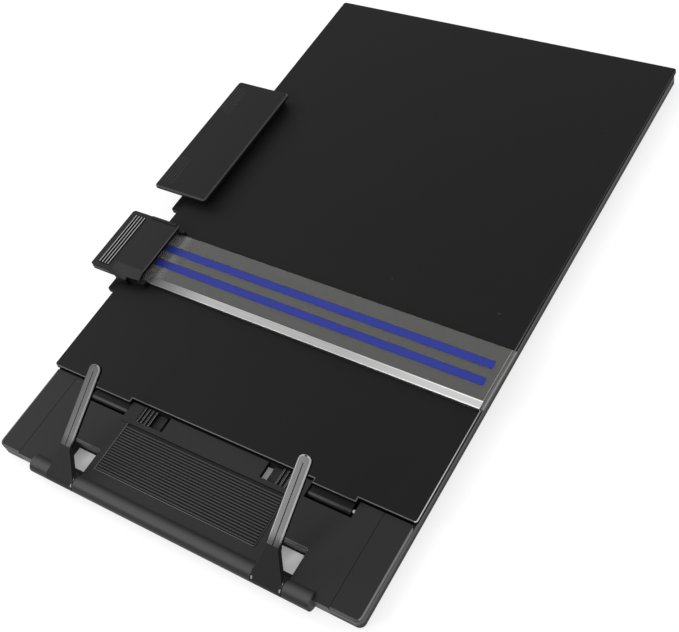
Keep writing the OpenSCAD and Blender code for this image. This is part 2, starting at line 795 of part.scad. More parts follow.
module prong_bracket_right() {
    color([0.17, 0.17, 0.18]) home() right_holder() prong_bracket();
}

module prong_arm_left() {
    color([0.6, 0.6, 0.6]) home() prong_arm();
}

module prong_arm_right() {
    color([0.6, 0.6, 0.6]) home() right_holder() prong_arm();
}

// Board, with its hinge knuckles, prop lugs and stiffening ribs
module board_ribs() {
    for (share = rib_shares)
        slab([share * board_w - rib_t / 2, share * board_w + rib_t / 2],
            [shoulder_y + rib_end_set, board_l - rib_end_set], [board_z - board_rib_h, board_z]);
    for (y = [shoulder_y + rib_end_set, board_l - rib_end_set - rib_t])
        slab([rib_shares[0] * board_w, rib_shares[3] * board_w], [y, y + rib_t],
            [board_z - board_rib_h / 2, board_z]);
}

module board() {
    color([0.12, 0.12, 0.13]) home() difference() {
        union() {
            rounded_slab([0, board_w], [0, board_l], [board_z, face_z], board_corner_r);
            both_sides() {
                slab(knuckle_x, [-lip_l, over], [board_z, face_z]);
                rod_x(barrel_x, hinge_y, hinge_z, knuckle_r);
                slab(barrel_x, [hinge_y, lip_l], [hinge_z, board_z]);
            }
            for (x = lug_x) {
                rod_x(x, prop_y, prop_z, knuckle_r);
                slab(x, [prop_y - knuckle_r, prop_y + knuckle_r], [prop_z, board_z]);
            }
            board_ribs();
        }
        both_sides()
            rod_x([knuckle_x[0] - over, knuckle_x[1] + over], hinge_y, hinge_z, hinge_pin_r + run_gap);
        rod_x([lug_x[0][0] - over, lug_x[2][1] + over], prop_y, prop_z, prop_axle_r + seat_gap);
    }
}

// Prop leg, folded between the board and the tray
module prop_leg() {
    end_y = prop_y + prop_l;
    z = [prop_z - prop_t / 2, prop_z + prop_t / 2];
    color([0.15, 0.15, 0.16]) home() difference() {
        union() {
            slab(prop_x, [prop_y, end_y], z);
            rod_x(prop_x, prop_y, prop_z, prop_barrel_r);
        }
        slab([prop_x[0] + prop_rail_w, prop_x[1] - prop_rail_w], [prop_y + prop_end_l, end_y - prop_end_l],
            [z[0] - over, z[1] + over]);
        slab([lug_x[1][0] - slide_gap, lug_x[1][1] + slide_gap],
            [prop_y - knuckle_r - over, prop_y + knuckle_r + slide_gap], [0, face_z]);
        rod_x([prop_x[0] - over, prop_x[1] + over], prop_y, prop_z, prop_axle_r + run_gap);
        slab([prop_x[0] - over, prop_x[1] + over], [end_y - shoe_r, end_y + over],
            [z[0] - over, prop_z - prop_t / 4]);
        slab([prop_x[0] - over, prop_x[1] + over], [end_y - shoe_r, end_y + over],
            [prop_z + prop_t / 4, z[1] + over]);
    }
}

module prop_axle() {
    color([0.7, 0.7, 0.72]) home() rod_x([lug_x[0][0], lug_x[2][1]], prop_y, prop_z, prop_axle_r);
}

module prop_shoe() {
    end_y = prop_y + prop_l;
    color([0.1, 0.1, 0.1]) home() difference() {
        rod_x(prop_x, end_y, prop_z, shoe_r);
        slab([prop_x[0] - over, prop_x[1] + over], [end_y - shoe_r - over, end_y + seat_gap],
            [prop_z - prop_t / 4 - seat_gap, prop_z + prop_t / 4 + seat_gap]);
    }
}

// Runner under the board's edge, with the ears that hold the pivot pin
module ear(y, z, reach_z) {
    along_y([y - ear_t / 2, y + ear_t / 2]) {
        translate([pivot_x, z]) circle(ear_r);
        translate([pivot_x - ear_r, min(z, reach_z)]) square([2 * ear_r, abs(reach_z - z)]);
    }
}

module runner(y, l, front_l, pivot_z, ear_set) {
    middle = y + l / 2;
    difference() {
        union() {
            rounded_slab([-runner_out, runner_in], [y - front_l, y + l],
                [runner_z, runner_z + runner_t], board_corner_r);
            slab([-fence_t - slide_gap, -slide_gap], [middle - ear_set - ear_t, middle + ear_set + ear_t],
                [runner_z, fence_top_z]);
            for (side = [-1, 1])
                ear(middle + side * (ear_set - ear_t - slide_gap), pivot_z, runner_z + runner_t / 2);
        }
        rod_y(pivot_x, [y, y + l], pivot_z, pivot_r + seat_gap);
    }
}

// Pin through the ears of a runner and of what turns on it
module pivot_pin(y, l, pivot_z, ear_set) {
    rod_y(pivot_x, [y + l / 2 - ear_set - ear_t / 2, y + l / 2 + ear_set + ear_t / 2], pivot_z, pivot_r);
}

// Torsion spring round the pin: one leg under the plate, the other on the runner
module torsion_spring(y, l, pivot_z, plate_z) {
    pitch = 2 * coil_wire_r + coil_gap;
    y0 = y + l / 2 - coil_turns * pitch / 2;
    top = [pivot_x - coil_leg_l[1], y0, plate_z - coil_wire_r - run_gap];
    low = [pivot_x - coil_leg_l[0], y0 + coil_turns * pitch, runner_z + runner_t + coil_wire_r + run_gap];
    coil = [for (i = [0 : coil_turns * curl_steps]) [pivot_x + coil_r * sin(360 * i / curl_steps),
        y0 + i * pitch / curl_steps, pivot_z + coil_r * cos(360 * i / curl_steps)]];
    echo("Least gap in a torsion spring, mm", least_gap(coil, coil_wire_r));
    wire(concat([top], coil, [low]), coil_wire_r, [0, 1, 0]);
}

// Row of grip ribs along Y near a plate's outer edge
module grip_rows(x, pitch, y, z) {
    for (i = [0 : grip_ribs - 1])
        slab([x + i * pitch, x + i * pitch + grip_rib_w], y, [z - run_gap, z + grip_rib_h]);
}

module clip_runner() {
    color([0.2, 0.2, 0.21]) home() runner(clip_y, clip_l, clip_runner_front_l, clip_pivot_z, clip_ear_set);
}

module clip_plate() {
    middle = clip_y + clip_l / 2;
    top_z = clip_z + clip_t;
    lip_x = clip_in - clip_lip_set - clip_lip_t;
    color([0.22, 0.22, 0.23]) home() difference() {
        union() {
            rounded_slab([-clip_out, clip_in], [clip_y, clip_y + clip_l], [clip_z, top_z - grip_rib_h],
                plate_corner_r);
            rounded_slab([-clip_out + grip_rib_h, clip_in - grip_rib_h],
                [clip_y + grip_rib_h, clip_y + clip_l - grip_rib_h], [clip_z, top_z], plate_corner_r);
            slab([lip_x, lip_x + clip_lip_t], [clip_y + clip_t, clip_y + clip_l - clip_t],
                [face_z + plate_gap, clip_z + run_gap]);
            for (side = [-1, 1])
                ear(middle + side * clip_ear_set, clip_pivot_z, clip_z + clip_t / 2);
        }
        for (y = [clip_y + 2 * clip_t, clip_y + clip_l - 2 * clip_t - clip_rib_l], i = [0 : grip_ribs])
            slab([clip_rib_pitch * (i + 1) - clip_out, clip_rib_pitch * (i + 1) - clip_out + grip_rib_w / 2],
                [y, y + clip_rib_l], [top_z - grip_rib_h / 2, top_z + over]);
        rod_y(pivot_x, [clip_y, clip_y + clip_l], clip_pivot_z, pivot_r + run_gap);
    }
}

module clip_pin() {
    color([0.7, 0.7, 0.72]) home() pivot_pin(clip_y, clip_l, clip_pivot_z, clip_ear_set);
}

module clip_spring() {
    color([0.7, 0.7, 0.72]) home() torsion_spring(clip_y, clip_l, clip_pivot_z, clip_z);
}

module guide_runner() {
    color([0.2, 0.2, 0.21]) home() runner(guide_y, guide_l, guide_runner_front_l, guide_pivot_z, guide_ear_set);
}

// Corner cut off a plate's outer front corner
module plate_corner_cut(x, y, z) {
    translate([x, y, z - over]) linear_extrude(2 * guide_t + 2 * over)
        polygon([[-over, -over], [plate_cut[0], -over], [plate_cut[0], 0], [0, plate_cut[1]],
            [-over, plate_cut[1]]]);
}

// Section of what is cut off the guide's sloping front band
module ramp_profile(top_z, drop) {
    polygon([[guide_y - over, top_z - drop], [guide_y, top_z - drop], [guide_y + ramp_l, top_z],
        [guide_y + ramp_l, top_z + over], [guide_y - over, top_z + over]]);
}

// Head of the line guide, which holds the ruler's root in a slot
module guide_head() {
    middle = guide_y + guide_l / 2;
    top_z = guide_z + guide_t - grip_rib_h;
    rib_y = [guide_y + guide_rib_set, guide_y + guide_l - guide_rib_end_set];
    color([0.2, 0.2, 0.21]) home() difference() {
        union() {
            rounded_slab([-guide_out, guide_in], guide_span, [guide_z, top_z], plate_corner_r);
            rounded_slab([-fence_t, root_x], guide_span, [ruler_z, top_z], plate_corner_r / 2);
            grip_rows(guide_rib_set - guide_out, guide_rib_pitch, rib_y, top_z);
            slab([rear_rim_x, guide_in - plate_corner_r], [rib_y[1] + guide_t / 2, guide_y + guide_l],
                [top_z - run_gap, top_z + grip_rib_h]);
            for (y = [[guide_span[0] + run_gap, ruler_y[0] - run_gap],
                    [ruler_y[1] + run_gap, guide_span[1] - run_gap]])
                slab([root_x - over, root_x + cheek_l], y, [ruler_z, ruler_z + ruler_t + cheek_h]);
            for (side = [-1, 1])
                ear(middle + side * guide_ear_set, guide_pivot_z, guide_z + guide_t / 2);
        }
        hull() {
            along_x([ramp_x, guide_in + over]) ramp_profile(top_z, ramp_drop);
            along_x([ramp_x - hip_l, ramp_x - hip_l + run_gap]) ramp_profile(top_z, 0);
        }
        slab([ramp_x + nose_set, root_x + cheek_l + over], [guide_y - over, guide_y + nose_set],
            [ruler_z - over, top_z + over]);
        plate_corner_cut(-guide_out, guide_y, guide_z);
        slab([-fence_t - over, ruler_x[0] - guide_t],
            [middle - guide_ear_set + ear_t / 2, middle + guide_ear_set - ear_t / 2],
            [ruler_z - over, guide_z]);
        slab([ruler_x[0] - seat_gap, root_x + over], [ruler_y[0] - seat_gap, ruler_y[1] + seat_gap],
            [ruler_z - over, ruler_z + ruler_t + seat_gap]);
        rod_y(pivot_x, [guide_y, guide_y + guide_l], guide_pivot_z, pivot_r + run_gap);
    }
}

module guide_pin() {
    color([0.7, 0.7, 0.72]) home() pivot_pin(guide_y, guide_l, guide_pivot_z, guide_ear_set);
}

module guide_spring() {
    color([0.7, 0.7, 0.72]) home() torsion_spring(guide_y, guide_l, guide_pivot_z, guide_z);
}

// Clear ruler with a bevelled free end
module line_ruler() {
    color([0.75, 0.78, 0.8, 0.5]) home() along_y(ruler_y)
        polygon([[ruler_x[0], ruler_z], [ruler_x[1], ruler_z], [ruler_x[1], ruler_z + ruler_t - bevel_h],
            [ruler_x[1] - bevel_l, ruler_z + ruler_t], [ruler_x[0], ruler_z + ruler_t]]);
}

// Metal strip folded over the ruler's front edge
module ruler_strip() {
    x = [root_x + cheek_l + slide_gap, ruler_x[1] - bevel_l];
    color([0.8, 0.8, 0.8]) home() {
        slab(x, [ruler_y[0], ruler_y[0] + strip_w], [ruler_z + ruler_t, ruler_z + ruler_t + strip_t]);
        slab(x, [ruler_y[0] - strip_t, ruler_y[0]], [ruler_z, ruler_z + ruler_t + strip_t]);
    }
}

// Two coloured lines on the ruler
module ruler_lines() {
    color([0.2, 0.22, 0.6]) home() for (share = line_shares)
        slab([root_x + slide_gap, board_w + ruler_over - line_end_set],
            [ruler_y[0] + share * ruler_w, ruler_y[0] + share * ruler_w + line_w],
            [ruler_z + ruler_t, ruler_z + ruler_t + line_t]);
}

module rubber_feet() {
    color([0.08, 0.08, 0.08]) home() for (place = foot_places)
        translate([place[0], place[1], 0]) cylinder(h = foot_h + foot_sink, r = foot_r);
}

// Self-tapping screws from below, through the tray into the cover and the end caps
module base_screws() {
    top_z = min(cover_z, rim_z) - screw_top_gap - over;
    color([0.65, 0.65, 0.67]) home() for (place = screw_places)
        translate([place[0], place[1], foot_h]) {
            cylinder(h = screw_head_h, r = screw_head_r);
            cylinder(h = top_z - foot_h, r = screw_shank_r);
        }
}

base_tray();
ledge_cover();
wing_left();
wing_right();
grip_pad();
hinge_block();
hinge_pin_left();
hinge_pin_right();
latch_left();
latch_right();
latch_spring_left();
latch_spring_right();
page_holder_rod();
friction_washers();
prong_bracket_left();
prong_bracket_right();
prong_arm_left();
prong_arm_right();
board();
prop_leg();
prop_axle();
prop_shoe();
clip_runner();
clip_plate();
clip_pin();
clip_spring();
guide_runner();
guide_head();
guide_pin();
guide_spring();
line_ruler();
ruler_strip();
ruler_lines();
rubber_feet();
base_screws();
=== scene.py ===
import math
import bpy
from mathutils import Matrix, Vector


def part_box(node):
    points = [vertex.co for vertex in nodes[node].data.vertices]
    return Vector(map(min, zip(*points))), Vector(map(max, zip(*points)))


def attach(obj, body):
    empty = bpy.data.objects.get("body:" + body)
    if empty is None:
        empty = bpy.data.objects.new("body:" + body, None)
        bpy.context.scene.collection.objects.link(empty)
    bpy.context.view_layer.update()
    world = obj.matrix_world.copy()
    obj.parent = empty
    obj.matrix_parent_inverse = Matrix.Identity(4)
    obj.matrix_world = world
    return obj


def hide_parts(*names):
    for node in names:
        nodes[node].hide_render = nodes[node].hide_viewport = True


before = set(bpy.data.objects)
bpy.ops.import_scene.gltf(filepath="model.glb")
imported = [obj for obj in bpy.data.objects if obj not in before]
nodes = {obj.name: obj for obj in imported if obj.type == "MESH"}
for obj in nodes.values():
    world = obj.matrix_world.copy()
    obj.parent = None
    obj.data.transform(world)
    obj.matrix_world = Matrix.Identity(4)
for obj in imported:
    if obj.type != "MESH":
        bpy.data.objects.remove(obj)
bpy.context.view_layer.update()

# The photograph's view: from the front right and well above, turned a little to the left.
# No edge of the board runs along the picture's edges, so the camera is rolled. Its lens
# is a short telephoto one on a full-frame sensor.
camera_place = (0.31635, -0.3138, 0.493)
camera_turn = (37.486, 12.404, 31.032)
camera_lens = 59.42
nearest_seen = 0.01
camera_data = bpy.data.cameras.new("photo_camera")
camera_data.lens = camera_lens
camera_data.clip_start = nearest_seen
camera = bpy.data.objects.new("photo_camera", camera_data)
camera.location = camera_place
camera.rotation_euler = [math.radians(turn) for turn in camera_turn]
bpy.context.scene.collection.objects.link(camera)
bpy.context.scene.camera = camera

# Plain studio light: a pale even surround, a large soft lamp far out on the left that
# skims the board, and a weaker one at the front left for the roll. The backdrop is pure
# white, and the picture is shown as it is, in Standard.
white = (1, 1, 1, 1)
surround_strength = 0.8
backdrop_strength = 1
bpy.context.scene.view_settings.view_transform = "Standard"
world = bpy.data.worlds.new("studio")
bpy.context.scene.world = world
world.use_nodes = True


def combine(tree, operation, first, second):
    both = tree.nodes.new("ShaderNodeMath")
    both.operation = operation
    tree.links.new(first, both.inputs[0])
    if isinstance(second, (int, float)):
        both.inputs[1].default_value = second
    else:
        tree.links.new(second, both.inputs[1])
    return both.outputs["Value"]


def seen_rays(tree):
    path = tree.nodes.new("ShaderNodeLightPath")
    seen = path.outputs["Is Camera Ray"]
    for kind in ("Is Glossy Ray", "Is Transmission Ray"):
        seen = combine(tree, "MAXIMUM", seen, path.outputs[kind])
    return seen


def show_both(tree, share, plain, seen, output):
    mix = tree.nodes.new("ShaderNodeMixShader")
    tree.links.new(share, mix.inputs["Fac"])
    tree.links.new(plain, mix.inputs[1])
    tree.links.new(seen, mix.inputs[2])
    tree.links.new(mix.outputs["Shader"], tree.nodes[output].inputs["Surface"])


surround = world.node_tree.nodes["Background"]
backdrop = world.node_tree.nodes.new("ShaderNodeBackground")
for light, strength in ((surround, surround_strength), (backdrop, backdrop_strength)):
    light.inputs["Color"].default_value = white
    light.inputs["Strength"].default_value = strength
show_both(world.node_tree, seen_rays(world.node_tree), surround.outputs["Background"],
          backdrop.outputs["Background"], "World Output")


def soft_lamp(name, place, aim, size, power):
    data = bpy.data.lights.new(name, "AREA")
    data.shape = "DISK"
    data.size = size
    data.energy = power
    lamp = bpy.data.objects.new(name, data)
    lamp.location = place
    lamp.rotation_euler = (Vector(aim) - Vector(place)).to_track_quat("-Z", "Y").to_euler()
    bpy.context.scene.collection.objects.link(lamp)


soft_lamp("key_lamp", place=(-4.5, 0.6, 2.4), aim=(0, 0, 0), size=1.8, power=60)
soft_lamp("roll_lamp", place=(-1.6, -2, 1.8), aim=(0, -0.19, 0), size=0.9, power=22)


# The table: a pale matt sheet far larger than the object. To the camera it glows nearly
# white and keeps the object's soft shadow. Under the base its glow is turned down, a
# painted shadow that greys the floor seen through the ledge's two windows.
table_half = 3
table_pale = (0.93, 0.93, 0.93, 1)
table_roughness = 0.9
table_glow_strength = 1.15
open_glow = 0.6
painted_shadow_glow = 0.12
covered_x = (-0.1, 0.12)
covered_y = (-0.187, -0.12)
bpy.ops.object.select_all(action="DESELECT")
bpy.ops.mesh.primitive_plane_add(size=2 * table_half, location=(0, 0, 0))
table = bpy.context.active_object
table.name = "table_top"
table_paint = bpy.data.materials.new("pale_table")
table_paint.use_nodes = True
table_tree = table_paint.node_tree
table_surface = table_tree.nodes["Principled BSDF"]
table_surface.inputs["Base Color"].default_value = table_pale
table_surface.inputs["Roughness"].default_value = table_roughness
table_glow = table_tree.nodes.new("ShaderNodeEmission")
table_glow.inputs["Strength"].default_value = table_glow_strength
table_place = table_tree.nodes.new("ShaderNodeTexCoord")
table_parts = table_tree.nodes.new("ShaderNodeSeparateXYZ")
table_tree.links.new(table_place.outputs["Object"], table_parts.inputs["Vector"])
# Painted shadow: inside this rectangle under the base the floor's glow share drops.
under_base = 1
for axis, side, border in (("X", "GREATER_THAN", covered_x[0]), ("X", "LESS_THAN", covered_x[1]),
                           ("Y", "GREATER_THAN", covered_y[0]), ("Y", "LESS_THAN", covered_y[1])):
    inside = combine(table_tree, side, table_parts.outputs[axis], border)
    under_base = combine(table_tree, "MULTIPLY", inside, under_base)
glow_share = table_tree.nodes.new("ShaderNodeMapRange")
glow_share.inputs["To Min"].default_value = open_glow
glow_share.inputs["To Max"].default_value = painted_shadow_glow
table_tree.links.new(under_base, glow_share.inputs["Value"])
seen_glow = combine(table_tree, "MULTIPLY", seen_rays(table_tree), glow_share.outputs["Result"])
show_both(table_tree, seen_glow, table_surface.outputs["BSDF"], table_glow.outputs["Emission"],
          "Material Output")
table.data.materials.append(table_paint)


# The board: one thin injection-moulded plate of black plastic with a fine matt skin.
# Its front edge ends in two lips over the hinge knuckles, and ribs stiffen its underside.
# It turns on two steel pins. Its rounded top edges carry a painted highlight, a thin pale line.
MM = 0.001
front_left_corner = Vector((-109.75, -136.9, 0)) * MM
face_z = 11
board_edge_round = 0.45
highlight_left_x = 0.3
front_edge_y = 1
front_edge_end_x = 238.5
front_edge_low_z = 10.4
barrel_y = -1
barrel_top_z = 8.35
side_glint_y = (-30, 155)
board_black = (0.0072, 0.0072, 0.0074, 1)
board_bloom = (0.0095, 0.0095, 0.0098, 1)
dust_grey = (0.3, 0.3, 0.29, 1)
level_slack = 0.02
sharp_fold = 0.5
merge_reach = 0.005
flat_within = 0.5
sheen_spread = 0.07
grain_strength = 0.6


def grey(shade):
    return (shade, shade, shade, 1)


# From here on, sizes and places are in millimetres from the board's front left corner, at
# the table's height.
def at(x, y, z):
    return front_left_corner + Vector((x, y, z)) * MM


def in_mm(point):
    return (Vector(point) - front_left_corner) / MM


def box_of(node):
    return [in_mm(corner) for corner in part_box(node)]


def upward(normal):
    return normal.z > 0.5


def nearly_level(normal):
    return normal.z > 0.9


def level(normal):
    return normal.z > 0.99


def slanting(normal):
    return 0.2 < normal.z < 0.97


def undercut(normal):
    return normal.z < -0.3


def deselect():
    if bpy.context.mode != "OBJECT":
        bpy.ops.object.mode_set(mode="OBJECT")
    bpy.ops.object.select_all(action="DESELECT")


def make_active(piece):
    deselect()
    piece.select_set(True)
    bpy.context.view_layer.objects.active = piece


def pick_none(piece, kind):
    make_active(piece)
    bpy.ops.object.mode_set(mode="EDIT")
    bpy.ops.mesh.select_mode(type=kind)
    bpy.ops.mesh.select_all(action="DESELECT")
    bpy.ops.object.mode_set(mode="OBJECT")


def pick_edges(piece, wanted):
    pick_none(piece, "EDGE")
    points = piece.data.vertices
    for edge in piece.data.edges:
        first, second = (in_mm(points[i].co) for i in edge.vertices)
        edge.select = bool(wanted(first, second))
    bpy.ops.object.mode_set(mode="EDIT")


def pick_top_edges(piece, height, wanted=lambda middle: True):
    folds = {}
    for face in piece.data.polygons:
        for key in face.edge_keys:
            folds.setdefault(key, []).append(face.normal)
    sharp = {key for key, normals in folds.items()
             if len(normals) == 2 and normals[0].dot(normals[1]) < sharp_fold
             and any(map(nearly_level, normals)) and not any(map(undercut, normals))}
    pick_none(piece, "EDGE")
    points = piece.data.vertices
    for edge in piece.data.edges:
        first, second = (in_mm(points[i].co) for i in edge.vertices)
        on_top = max(abs(first.z - height), abs(second.z - height)) < level_slack
        edge.select = on_top and edge.key in sharp and wanted((first + second) / 2)
    bpy.ops.object.mode_set(mode="EDIT")


def pick_faces(piece, wanted):
    pick_none(piece, "FACE")
    for face in piece.data.polygons:
        face.select = bool(wanted(in_mm(face.center), face.normal))
    bpy.ops.object.mode_set(mode="EDIT")


def paint_faces(piece, slot, wanted):
    deselect()
    for face in piece.data.polygons:
        if wanted(in_mm(face.center), face.normal):
            face.material_index = slot


def bevel_picked(width, steps=2, slot=-1):
    bpy.ops.mesh.bevel(offset=width * MM, segments=steps, affect="EDGES", material=slot,
                       clamp_overlap=False)
    bpy.ops.object.mode_set(mode="OBJECT")


def smooth(piece, limit=35):
    make_active(piece)
    bpy.ops.object.shade_smooth_by_angle(angle=math.radians(limit))
    flat_faces = piece.modifiers.new("flat_faces", "WEIGHTED_NORMAL")
    flat_faces.keep_sharp = True
    bpy.ops.object.modifier_apply(modifier="flat_faces")


def moulding(node, name, *paints):
    piece = bpy.data.objects.new(name, nodes[node].data.copy())
    bpy.context.scene.collection.objects.link(piece)
    piece.data.name = name
    piece.data.materials.clear()
    for paint in paints:
        piece.data.materials.append(paint)
    make_active(piece)
    bpy.ops.mesh.customdata_custom_splitnormals_clear()
    bpy.ops.object.mode_set(mode="EDIT")
    bpy.ops.mesh.select_all(action="SELECT")
    bpy.ops.mesh.remove_doubles(threshold=merge_reach * MM)
    bpy.ops.mesh.dissolve_limited(angle_limit=math.radians(flat_within))
    bpy.ops.object.mode_set(mode="OBJECT")
    return piece


def fit(piece, body, slot, *stands_for):
    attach(piece, body)
    if stands_for:
        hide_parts(*stands_for)


def skin_group():
    group = bpy.data.node_groups.new("moulded_skin", "ShaderNodeTree")
    for name, start in (("Grain", 2500), ("Patches", 14), ("Dust", 0.5)):
        socket = group.interface.new_socket(name=name, in_out="INPUT", socket_type="NodeSocketFloat")
        socket.default_value = start
    for name in ("Height", "Tone", "Specks"):
        group.interface.new_socket(name=name, in_out="OUTPUT", socket_type="NodeSocketFloat")
    add = group.nodes.new
    link = group.links.new
    entry = add("NodeGroupInput")
    leave = add("NodeGroupOutput")
    place = add("ShaderNodeTexCoord")
    for size, detail, result in (("Grain", 2, "Height"), ("Patches", 4, "Tone")):
        noise = add("ShaderNodeTexNoise")
        noise.inputs["Detail"].default_value = detail
        link(place.outputs["Object"], noise.inputs["Vector"])
        link(entry.outputs[size], noise.inputs["Scale"])
        link(noise.outputs["Fac"], leave.inputs[result])
    specks = add("ShaderNodeTexVoronoi")
    specks.inputs["Scale"].default_value = 50
    link(place.outputs["Object"], specks.inputs["Vector"])
    near = add("ShaderNodeMapRange")
    near.inputs["From Min"].default_value = 0.01
    near.inputs["From Max"].default_value = 0.024
    near.inputs["To Min"].default_value = 1
    near.inputs["To Max"].default_value = 0
    link(specks.outputs["Distance"], near.inputs["Value"])
    few = combine(group, "MULTIPLY", near.outputs["Result"], entry.outputs["Dust"])
    link(few, leave.inputs["Specks"])
    return group


moulded_skin = skin_group()


def blend_colours(tree, share, first, second):
    blend = tree.nodes.new("ShaderNodeMix")
    blend.data_type = "RGBA"
    tree.links.new(share, blend.inputs["Factor"])
    for colour, socket in ((first, blend.inputs["A"]), (second, blend.inputs["B"])):
        if isinstance(colour, tuple):
            socket.default_value = colour
        else:
            tree.links.new(colour, socket)
    return blend


def show_colour(paint, blend):
    blend.name = "last_colour"
    colour = paint.node_tree.nodes["Principled BSDF"].inputs["Base Color"]
    paint.node_tree.links.new(blend.outputs["Result"], colour)


def vary_roughness(paint, tone, low, high):
    sheen = paint.node_tree.nodes.new("ShaderNodeMapRange")
    sheen.inputs["To Min"].default_value = low
    sheen.inputs["To Max"].default_value = high
    paint.node_tree.links.new(tone, sheen.inputs["Value"])
    roughness = paint.node_tree.nodes["Principled BSDF"].inputs["Roughness"]
    paint.node_tree.links.new(sheen.outputs["Result"], roughness)


def plastic(name, dark, light, roughness, shine, grain=2500, depth=0.02, dust=0.3):
    paint = bpy.data.materials.new(name)
    paint.use_nodes = True
    tree = paint.node_tree
    surface = tree.nodes["Principled BSDF"]
    surface.inputs["Specular IOR Level"].default_value = shine
    skin = tree.nodes.new("ShaderNodeGroup")
    skin.node_tree = moulded_skin
    skin.inputs["Grain"].default_value = grain
    skin.inputs["Dust"].default_value = dust
    clean = blend_colours(tree, skin.outputs["Tone"], dark, light)
    show_colour(paint, blend_colours(tree, skin.outputs["Specks"], clean.outputs["Result"], dust_grey))
    vary_roughness(paint, skin.outputs["Tone"], roughness - sheen_spread, roughness + sheen_spread)
    bump = tree.nodes.new("ShaderNodeBump")
    bump.inputs["Strength"].default_value = grain_strength
    bump.inputs["Distance"].default_value = depth * MM
    tree.links.new(skin.outputs["Height"], bump.inputs["Height"])
    tree.links.new(bump.outputs["Normal"], surface.inputs["Normal"])
    return paint


def even_plastic(name, colour, roughness, shine, depth=0.02):
    return plastic(name, colour, colour, roughness, shine, depth=depth, dust=0)


def fade(paint, axis, start, end, far_colour):
    tree = paint.node_tree
    zero = front_left_corner["XYZ".index(axis)]
    place = tree.nodes.new("ShaderNodeTexCoord")
    parts = tree.nodes.new("ShaderNodeSeparateXYZ")
    tree.links.new(place.outputs["Object"], parts.inputs["Vector"])
    ramp = tree.nodes.new("ShaderNodeMapRange")
    ramp.interpolation_type = "SMOOTHSTEP"
    ramp.inputs["From Min"].default_value = zero + start * MM
    ramp.inputs["From Max"].default_value = zero + end * MM
    tree.links.new(parts.outputs[axis], ramp.inputs["Value"])
    near = tree.nodes["last_colour"]
    near.name = "inner_colour"
    show_colour(paint, blend_colours(tree, ramp.outputs["Result"], near.outputs["Result"], far_colour))


board_skin = plastic("board_skin", board_black, board_bloom, 0.55, 0.1)
# Painted shade: the board's sides and underside are darker than its top.
painted_shade_side = even_plastic("painted_shade_side", grey(0.003), 0.7, 0.03)
# Painted highlight on the rounded top edges, fading out towards the rear.
side_highlight = even_plastic("side_highlight", grey(0.62), 0.4, 0.3, depth=0.005)
fade(side_highlight, "Y", *side_glint_y, grey(0.003))
# Painted highlight on the rounding of the board's front edge.
front_highlight = even_plastic("front_highlight", grey(0.13), 0.4, 0.3, depth=0.005)
# Painted sheen: the knuckle barrels are paler than the rest of the board.
barrel_sheen = even_plastic("barrel_sheen", (0.03, 0.03, 0.0305, 1), 0.4, 0.3, depth=0.01)
board = moulding("board", "board_panel", board_skin, painted_shade_side, side_highlight, barrel_sheen, front_highlight)
paint_faces(board, 1, lambda middle, normal: not upward(normal))
paint_faces(board, 3, lambda middle, normal: middle.y < barrel_y and middle.z < barrel_top_z
            and abs(normal.x) < 0.1)
pick_top_edges(board, face_z, lambda middle: middle.x > highlight_left_x)
bevel_picked(board_edge_round, slot=2)
paint_faces(board, 4, lambda middle, normal: slanting(normal) and middle.x < front_edge_end_x
            and middle.y < front_edge_y and middle.z > front_edge_low_z)
smooth(board)
fit(board, "board", "board_plastic", "board")


# The ledge: a black cover moulded in one with the round roll along its front.
# Screws from below hold it on the tray, and two windows behind the hubs go right through,
# each with a stepped rim at its rear.
ledge_z = 9
ledge_black = (0.02, 0.02, 0.0205, 1)
ledge_bloom = (0.0245, 0.0245, 0.025, 1)
roll_black = (0.008, 0.008, 0.0082, 1)
roll_bloom = (0.011, 0.011, 0.0112, 1)
ledge_edge_round = 0.3
window_back_y = -33.6
window_rim_w = 1.2
window_step = 0.8
roll_back_y = -50.5
roll_highlight_y = (-51, -55.6)
roll_highlight_fall_y = (-56, -58.8)
ledge_skin = plastic("ledge_skin", ledge_black, ledge_bloom, 0.48, 0.12, grain=1800, depth=0.03)
# Painted highlight on the rounded edges of the windows' stepped rims.
window_rim_highlight = even_plastic("window_rim_highlight", grey(0.13), 0.4, 0.4)
roll_skin = plastic("roll_skin", roll_black, roll_bloom, 0.45, 0.15, grain=1800)
# Painted highlight: a lighter band along the roll's upper front, darker again lower down.
fade(roll_skin, "Y", *roll_highlight_y, grey(0.07))
fade(roll_skin, "Y", *roll_highlight_fall_y, grey(0.02))
# Painted light: the windows' rear walls, facing forward, are paler than the ledge.
window_wall_light = even_plastic("window_wall_light", grey(0.05), 0.45, 0.3)


def on_window_rim(middle):
    return abs(middle.y - window_back_y) < window_rim_w


ledge = moulding("ledge_cover", "ledge_top", ledge_skin, window_rim_highlight, roll_skin, window_wall_light)
paint_faces(ledge, 2, lambda middle, normal: middle.y < roll_back_y)
paint_faces(ledge, 3, lambda middle, normal: on_window_rim(middle) and normal.y < -0.9)
for height in (ledge_z, ledge_z - window_step):
    pick_top_edges(ledge, height, on_window_rim)
    bevel_picked(ledge_edge_round, slot=1)
smooth(ledge)
fit(ledge, "base", "ledge_plastic", "ledge_cover")


# The end caps of the ledge: two separate black mouldings, each screwed on from below,
# with a round front corner and a softened outer edge above the parting line.
cap_side_x = 238
cap_smooth_limit = 20
